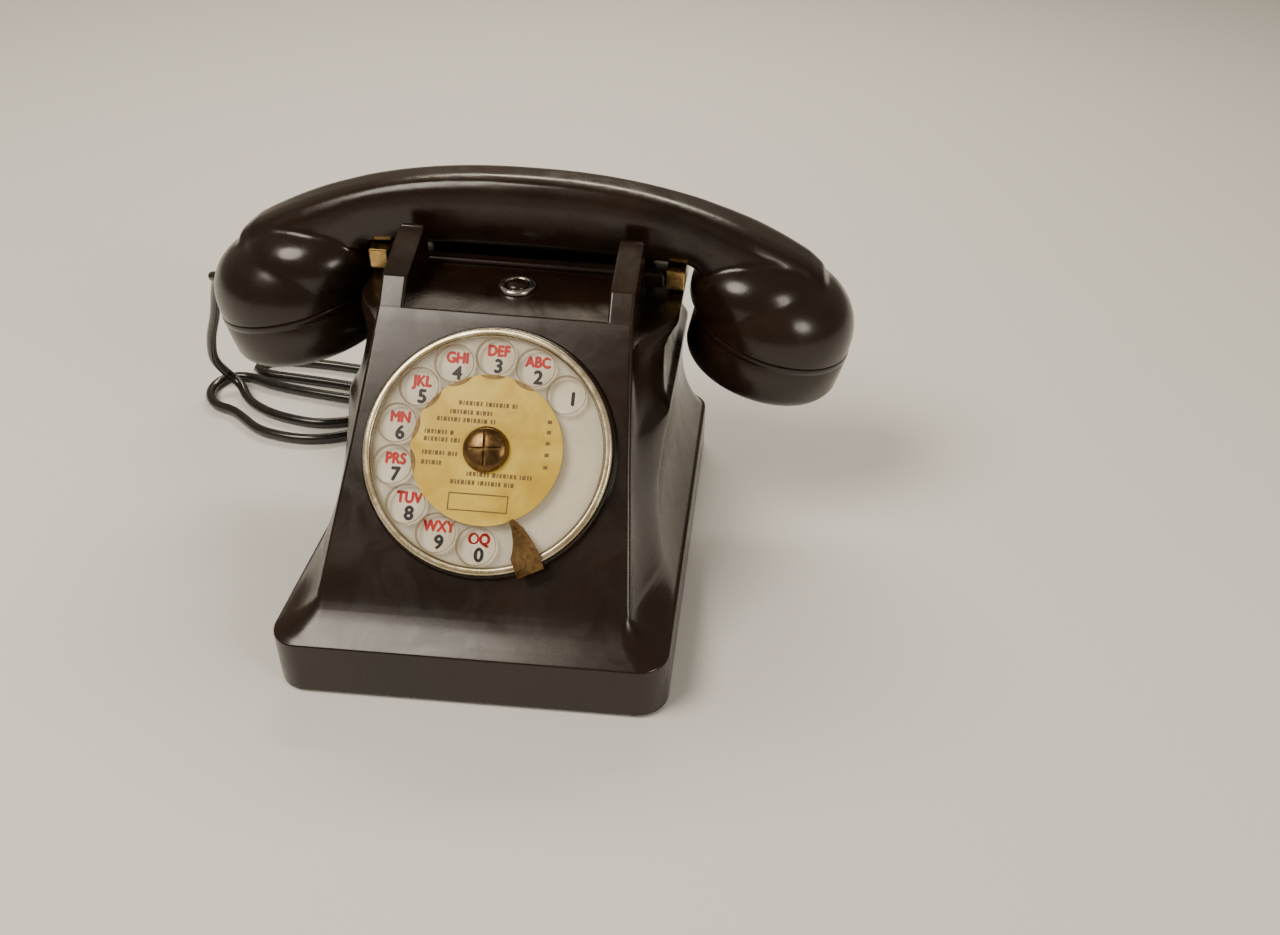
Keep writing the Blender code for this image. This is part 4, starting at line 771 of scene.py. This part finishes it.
def make_labels():
    digits = [("1", HOLE_PLACES[0][0] + 1.9, HOLE_PLACES[0][1] - 1.0, 6.2, 1.0)]
    letters = []
    groups = ("", "ABC", "DEF", "GHI", "JKL", "MN", "PRS", "TUV", "WXY", "OQ")
    for i, (x, y) in enumerate(HOLE_PLACES):
        if i:
            digits.append((str((i + 1) % 10), x + 0.7, y - 3.0, 6.2, 1.0))
            letters.append((groups[i], x + 0.3, y + 2.1, 5.0, 0.86))
    for name, words, skin in (("dial_digits", digits, "digit"), ("dial_letters", letters, "letter")):
        bm = text_mesh(words)
        bm.transform(Matrix.Translation((0, 0, PLATE_TOP + 0.05)))
        mesh = mesh_from(name, to_row(bm, DIAL), 30)
        show(name, mesh, HOUSING, [SKIN[skin]], slot="enamel")


def lens(centre, radius, around):
    """The outline shared by the card's disc and a circle round a finger hole."""
    reach = math.hypot(*centre)
    turn = math.atan2(centre[1], centre[0])
    along = (reach**2 + around**2 - radius**2) / (2 * reach)
    half = math.acos(min(along / around, 1))
    other = math.acos(min((reach - along) / radius, 1))
    points = []
    for step in range(-8, 9):
        angle = turn + half * (step / 8)
        points.append((around * math.cos(angle), around * math.sin(angle)))
    for step in range(7, -8, -1):
        angle = turn + math.pi - other * (step / 8)
        points.append((centre[0] + radius * math.cos(angle), centre[1] + radius * math.sin(angle)))
    return points


def mark(bm, x0, x1, y0, y1):
    """A thin rectangle on the card."""
    slab([(x0, y0), (x1, y0), (x1, y1), (x0, y1)], CARD_TOP, CARD_TOP + PRINT_THICKNESS, bm)


def make_card():
    """The card, painted shade as brown crescents beside the holes, and plain bars with a blank box in place
    of print.
    """
    profile = [(2.8, CARD_TOP), (24.3, CARD_TOP), (24.55, 1.42), (24.6, 1.2), (24.6, 1.0), (2.8, 1.0)]
    mesh = mesh_from("card_disc", to_row(revolve(profile, 120, ring=True), DIAL), 40)
    show("card_disc", mesh, "dial", [SKIN["paper"]], "number_card", slot="paper_card")
    bm = bmesh.new()
    # Painted shade: brown crescents where a circle round each upper finger hole overlaps the card's edge.
    for i, place in enumerate(HOLE_PLACES):
        if 0 < i < 7:
            slab(lens(place, 8.0, 24.45), CARD_TOP, CARD_TOP + PRINT_THICKNESS, bm)
    mesh = mesh_from("card_painted_shade", to_row(bm, DIAL), 30)
    show("card_painted_shade", mesh, "dial", [SKIN["hole_shade"]], slot="paper_card")
    bm = bmesh.new()
    rows = [(-10.5, 9.5, 14.6), (-13, 2, 11.6), (-17, 3, 9.0), (-20.5, -10.5, 4.6), (-20.5, -8.5, 2.2)]
    rows += [(-20.5, -8.5, -2.2), (-20.5, -13.5, -5.4), (-5.5, 16.5, -8.2), (-10.5, 10.0, -11.0)]
    for start, end, y in rows:
        x = start
        for k in range(40):
            width = 0.75 + 0.35 * math.sin(k * 2.3 + y)
            if x + width > end:
                break
            mark(bm, x, x + width, y - STROKE_HALF, y + STROKE_HALF)
            x += width + 0.38 + (0.7 if k % 7 == 6 else 0)
    for y in (10.4, 7.0, 3.4, -0.4, -4.4):
        mark(bm, 18.8, 20.2, y - 0.6, y + 0.6)
    x0, x1, y0, y1 = -10.6, 8.8, -20.2, -14.4
    mark(bm, x0, x1, y0, y0 + BOX_LINE)
    mark(bm, x0, x1, y1 - BOX_LINE, y1)
    mark(bm, x0, x0 + BOX_LINE, y0 + BOX_LINE, y1 - BOX_LINE)
    mark(bm, x1 - BOX_LINE, x1, y0 + BOX_LINE, y1 - BOX_LINE)
    mesh = mesh_from("card_print", to_row(bm, DIAL), 30)
    show("card_print", mesh, "dial", [SKIN["print"]], slot="paper_card")


def make_hub():
    low = 1.8
    profile = [(0, low + 3.6)]
    for i in range(1, 9):
        t = math.pi / 2 * i / 8
        profile.append((7.3 * math.sin(t) ** 0.95, low + 0.7 + 2.9 * math.cos(t)))
    profile += [(7.5, low + 0.5), (7.5, low), (0, low)]
    bm = revolve(profile, 72)
    sizes = ((5.6, 0.48), (0.48, 5.6))
    slots = [slab([(-a, -b), (a, -b), (a, b), (-a, b)], low + 2.2, low + 5) for a, b in sizes]
    for slot in slots:
        slot.transform(Matrix.Rotation(math.radians(4), 4, "Z"))
    bm = solve(bm, "DIFFERENCE", *slots)
    mesh = mesh_from("hub_dome", to_row(bm, DIAL), 40)
    show("hub_dome", mesh, "dial", [SKIN["bronze"]], "hub_screw", slot="brass")


# --- button, handset and small pieces ---------------------------------------------------------------------


def make_button():
    top = DECK_HEIGHT + 1.7
    profile = [(4.3, top - 0.5), (4.45, top - 0.18), (4.8, top), (5.5, top), (6.1, top - 0.3)]
    profile += [(6.42, top - 0.8), (6.5, DECK_HEIGHT + 0.3), (4.9, DECK_HEIGHT + 0.3)]
    profile += [(4.9, DECK_HEIGHT - 5), (4.3, DECK_HEIGHT - 5)]
    bm = revolve(profile, 64, centre=(0, BUTTON_BACK), ring=True)
    mesh = mesh_from("button_ring", to_row(bm, FRONT), 40)
    show("button_ring", mesh, HOUSING, [SKIN["nickel"]], "button_bezel", slot="nickel")
    top = DECK_HEIGHT + 2.6
    profile = [(0, top), (1.6, top - 0.08), (2.8, top - 0.32), (3.5, top - 0.75), (3.9, top - 1.4)]
    profile += [(4.0, top - 2), (4.0, DECK_HEIGHT - 8), (0, DECK_HEIGHT - 8)]
    mesh = mesh_from("button_top", to_row(revolve(profile, 48, centre=(0, BUTTON_BACK)), FRONT), 40)
    show("button_top", mesh, "button", [SKIN["bakelite"]], "push_button", slot="bakelite")


GRIP_VOXEL = 0.9
HANDLE_TOP, HANDLE_DROP, HANDLE_REACH, HANDLE_CURVE = 131, 27.5, 106, 2.3
CUP_RADIUS, DOME_HEIGHT = 30, 25
SHOULDER_OFFSET, SHOULDER_LEVEL, SHOULDER_RADIUS, SHOULDER_HEIGHT = 82.5, 90, 25, 18


def handle_height(x):
    return HANDLE_TOP - HANDLE_DROP * (abs(x) / HANDLE_REACH) ** HANDLE_CURVE


def handle_rings():
    # Distance from the middle, underside, width, and how far the top drops below the bow.
    stations = [(0, 105.2, 21, 0), (20, 105.0, 21, 0), (40, 104.35, 21, 0), (56.9, 103.5, 22, 0)]
    stations += [(60, 101.8, 22.5, 0), (64, 97.5, 23.5, 0), (70, 92.5, 25, 0), (80, 88, 27, 0)]
    stations += [(92, 86, 25, 0), (101, 84, 22, 0), (HANDLE_REACH, 82, 18, 1), (110, 81, 14, 7)]
    shape = [(-0.72, 0.0), (0.72, 0.0), (0.86, 0.03), (0.95, 0.1), (1.0, 0.3), (0.985, 0.62), (0.9, 0.84)]
    shape += [(0.7, 0.955), (0.35, 0.995), (-0.35, 0.995), (-0.7, 0.955), (-0.9, 0.84), (-0.985, 0.62)]
    shape += [(-1.0, 0.3), (-0.95, 0.1), (-0.86, 0.03)]
    fine = []
    for near, far in zip(stations, stations[1:]):
        for i in range(6):
            fine.append(tuple(a + (b - a) * (i / 6) for a, b in zip(near, far)))
    fine.append(stations[-1])
    rings = []
    for side, row in ((-1, reversed(fine[1:])), (1, fine)):
        for x, low, width, drop in row:
            top = handle_height(x) - drop
            rings.append([(side * x, width / 2 * a, low + (top - low) * b) for a, b in shape])
    return rings


def cup_profiles():
    """The dome above the cap, and the bulge that carries the handle's flat side into it."""
    turns = [math.pi / 2 * i / 24 for i in range(1, 24)]
    dome = [(CUP_RADIUS * math.sin(t) ** 0.83, DOME_HEIGHT * math.cos(t) ** 0.83) for t in turns]
    dome = [(0, DOME_HEIGHT), *dome, (CUP_RADIUS, 0), (CUP_RADIUS, -2.5), (0, -2.5)]
    bulge = [(SHOULDER_RADIUS * math.sin(t) ** 0.8, SHOULDER_HEIGHT * math.cos(t) ** 0.8) for t in turns]
    bulge = [(0, SHOULDER_HEIGHT), *bulge, (SHOULDER_RADIUS, 0), (SHOULDER_RADIUS - 1, -4), (0, -4)]
    return dome, bulge


def make_handset():
    """Handle, shoulders and domes melted into one skin, then cut flat at the seams with the caps."""
    bm = loft(handle_rings())
    bm.transform(Matrix.Translation((0, HANDSET_BACK, 0)))
    dome, bulge = cup_profiles()
    to_mm = Matrix.Scale(1 / MM, 4)
    cups = []
    for side, axis in ((-1, MOUTH), (1, EAR)):
        tilted = to_mm @ FRONT.inverted() @ axis @ Matrix.Scale(MM, 4)
        cups.append((side, tilted))
        shoulder = Matrix.Translation((side * SHOULDER_OFFSET, HANDSET_BACK, SHOULDER_LEVEL))
        for profile, matrix in ((dome, tilted), (bulge, shoulder)):
            part = revolve(profile, 96)
            part.transform(matrix)
            mesh = bpy.data.meshes.new("dome")
            part.to_mesh(mesh)
            part.free()
            bm.from_mesh(mesh)
    solid = temporary("grip", bm)
    remesh = solid.modifiers.new("remesh", "REMESH")
    remesh.mode = "VOXEL"
    remesh.voxel_size = GRIP_VOXEL
    remesh.use_smooth_shade = True
    smooth = solid.modifiers.new("smooth", "SMOOTH")
    smooth.factor = 0.5
    smooth.iterations = 10
    mesh = evaluated_mesh(solid)
    bpy.data.objects.remove(solid)
    bm = bmesh.new()
    bm.from_mesh(mesh)
    for side, tilted in cups:
        faces = [face for face in bm.faces if side * face.calc_center_median().x > 50]
        near = list({item for face in faces for item in (face, *face.edges, *face.verts)})
        down = (tilted.to_3x3() @ Vector((0, 0, -1))).normalized()
        bmesh.ops.bisect_plane(bm, geom=near, plane_co=tilted.translation, plane_no=down, clear_outer=True)
        rim = [edge for edge in bm.edges if edge.is_boundary]
        bmesh.ops.contextual_create(bm, geom=rim)
    bm.to_mesh(mesh)
    bm.free()
    mesh.transform(FRONT @ Matrix.Scale(MM, 4))
    mesh.shade_smooth()
    mesh.set_sharp_from_angle(angle=math.radians(50))
    show("handset_grip", mesh, "handset", [SKIN["bakelite"]], "handle", slot="bakelite")
    for word, axis, pierced in (("mouth", MOUTH, 6.0), ("ear", EAR, 3.5)):
        make_cap(word, axis, pierced)


def make_cap(word, axis, pierced):
    lip, low = 30.3, -20.0
    profile = [(26.4, -0.3), (29.7, -0.3), (30.1, -0.45), (lip, -0.9), (lip, -2.2), (30.05, -2.5)]
    profile += [(30.05, -3.0), (30.25, -3.4), (30.1, low + 9)]
    for i in range(1, 9):
        t = math.pi / 2 * i / 8
        profile.append((lip - 7.2 + 7 * math.cos(t), low + 7 - 7 * math.sin(t)))
    profile += [(pierced + 10, low + 0.4), (pierced + 8, low + 1.5), (pierced, low + 2)]
    profile += [(pierced, low + 5), (26.4, low + 7)]
    bm = revolve(profile, 112, ring=True)
    mesh = mesh_from(f"{word}_cap_turned", to_row(bm, axis), 40)
    show(f"{word}_cap_turned", mesh, "handset", [SKIN["bakelite"]], f"{word}_cap", slot="bakelite")


def make_bush():
    tip, out = bush_line()
    length = 11.2
    profile = [(0, length), (2.3, length), (2.7, length - 0.4)]
    for i in range(5):
        z = length - 1.6 - 1.5 * i
        wide = 2.9 + 0.13 * i
        profile += [(wide - 0.25, z + 0.75), (wide - 0.25, z + 0.35), (wide, z + 0.2), (wide, z - 0.5)]
    profile += [(3.4, 1.8), (3.6, 1.2), (3.6, 0), (0, 0)]
    bm = revolve(profile, 36)
    turn = out.to_track_quat("Z", "Y").to_matrix().to_4x4()
    mesh = mesh_from("cord_bush_ribbed", to_row(bm, Matrix.Translation(tip - out * length * MM) @ turn), 35)
    return show("cord_bush_ribbed", mesh, "handset", [SKIN["rubber"]], "cord_bush", slot="rubber")


SLOT_SKINS = {
    "bakelite": "bakelite",
    "steel": "steel",
    "brass": "brass",
    "nickel": "nickel",
    "rubber": "rubber",
    "enamel": "enamel",
    "clear_wheel": "wheel",
    "paper_card": "paper",
    "copper_winding": "copper",
    "insulating_board": "board",
}


def dress_cad_nodes():
    slots = {entry["node"]: entry["material_slot"] for entry in frame["record"]["subparts"]}
    for name, obj in NODES.items():
        skin = "bronze" if name == "finger_stop" else SLOT_SKINS[slots[name]]
        if not obj.material_slots:
            obj.data.materials.append(SKIN[skin])
        for place in obj.material_slots:
            place.material = SKIN[skin]


SKIN = make_materials()
make_camera()
make_stage()
BUSH = make_bush()
make_cord()
dress_cad_nodes()
make_casing()
make_finger_wheel()
make_bezel()
make_number_plate()
make_labels()
make_card()
make_hub()
make_button()
make_handset()
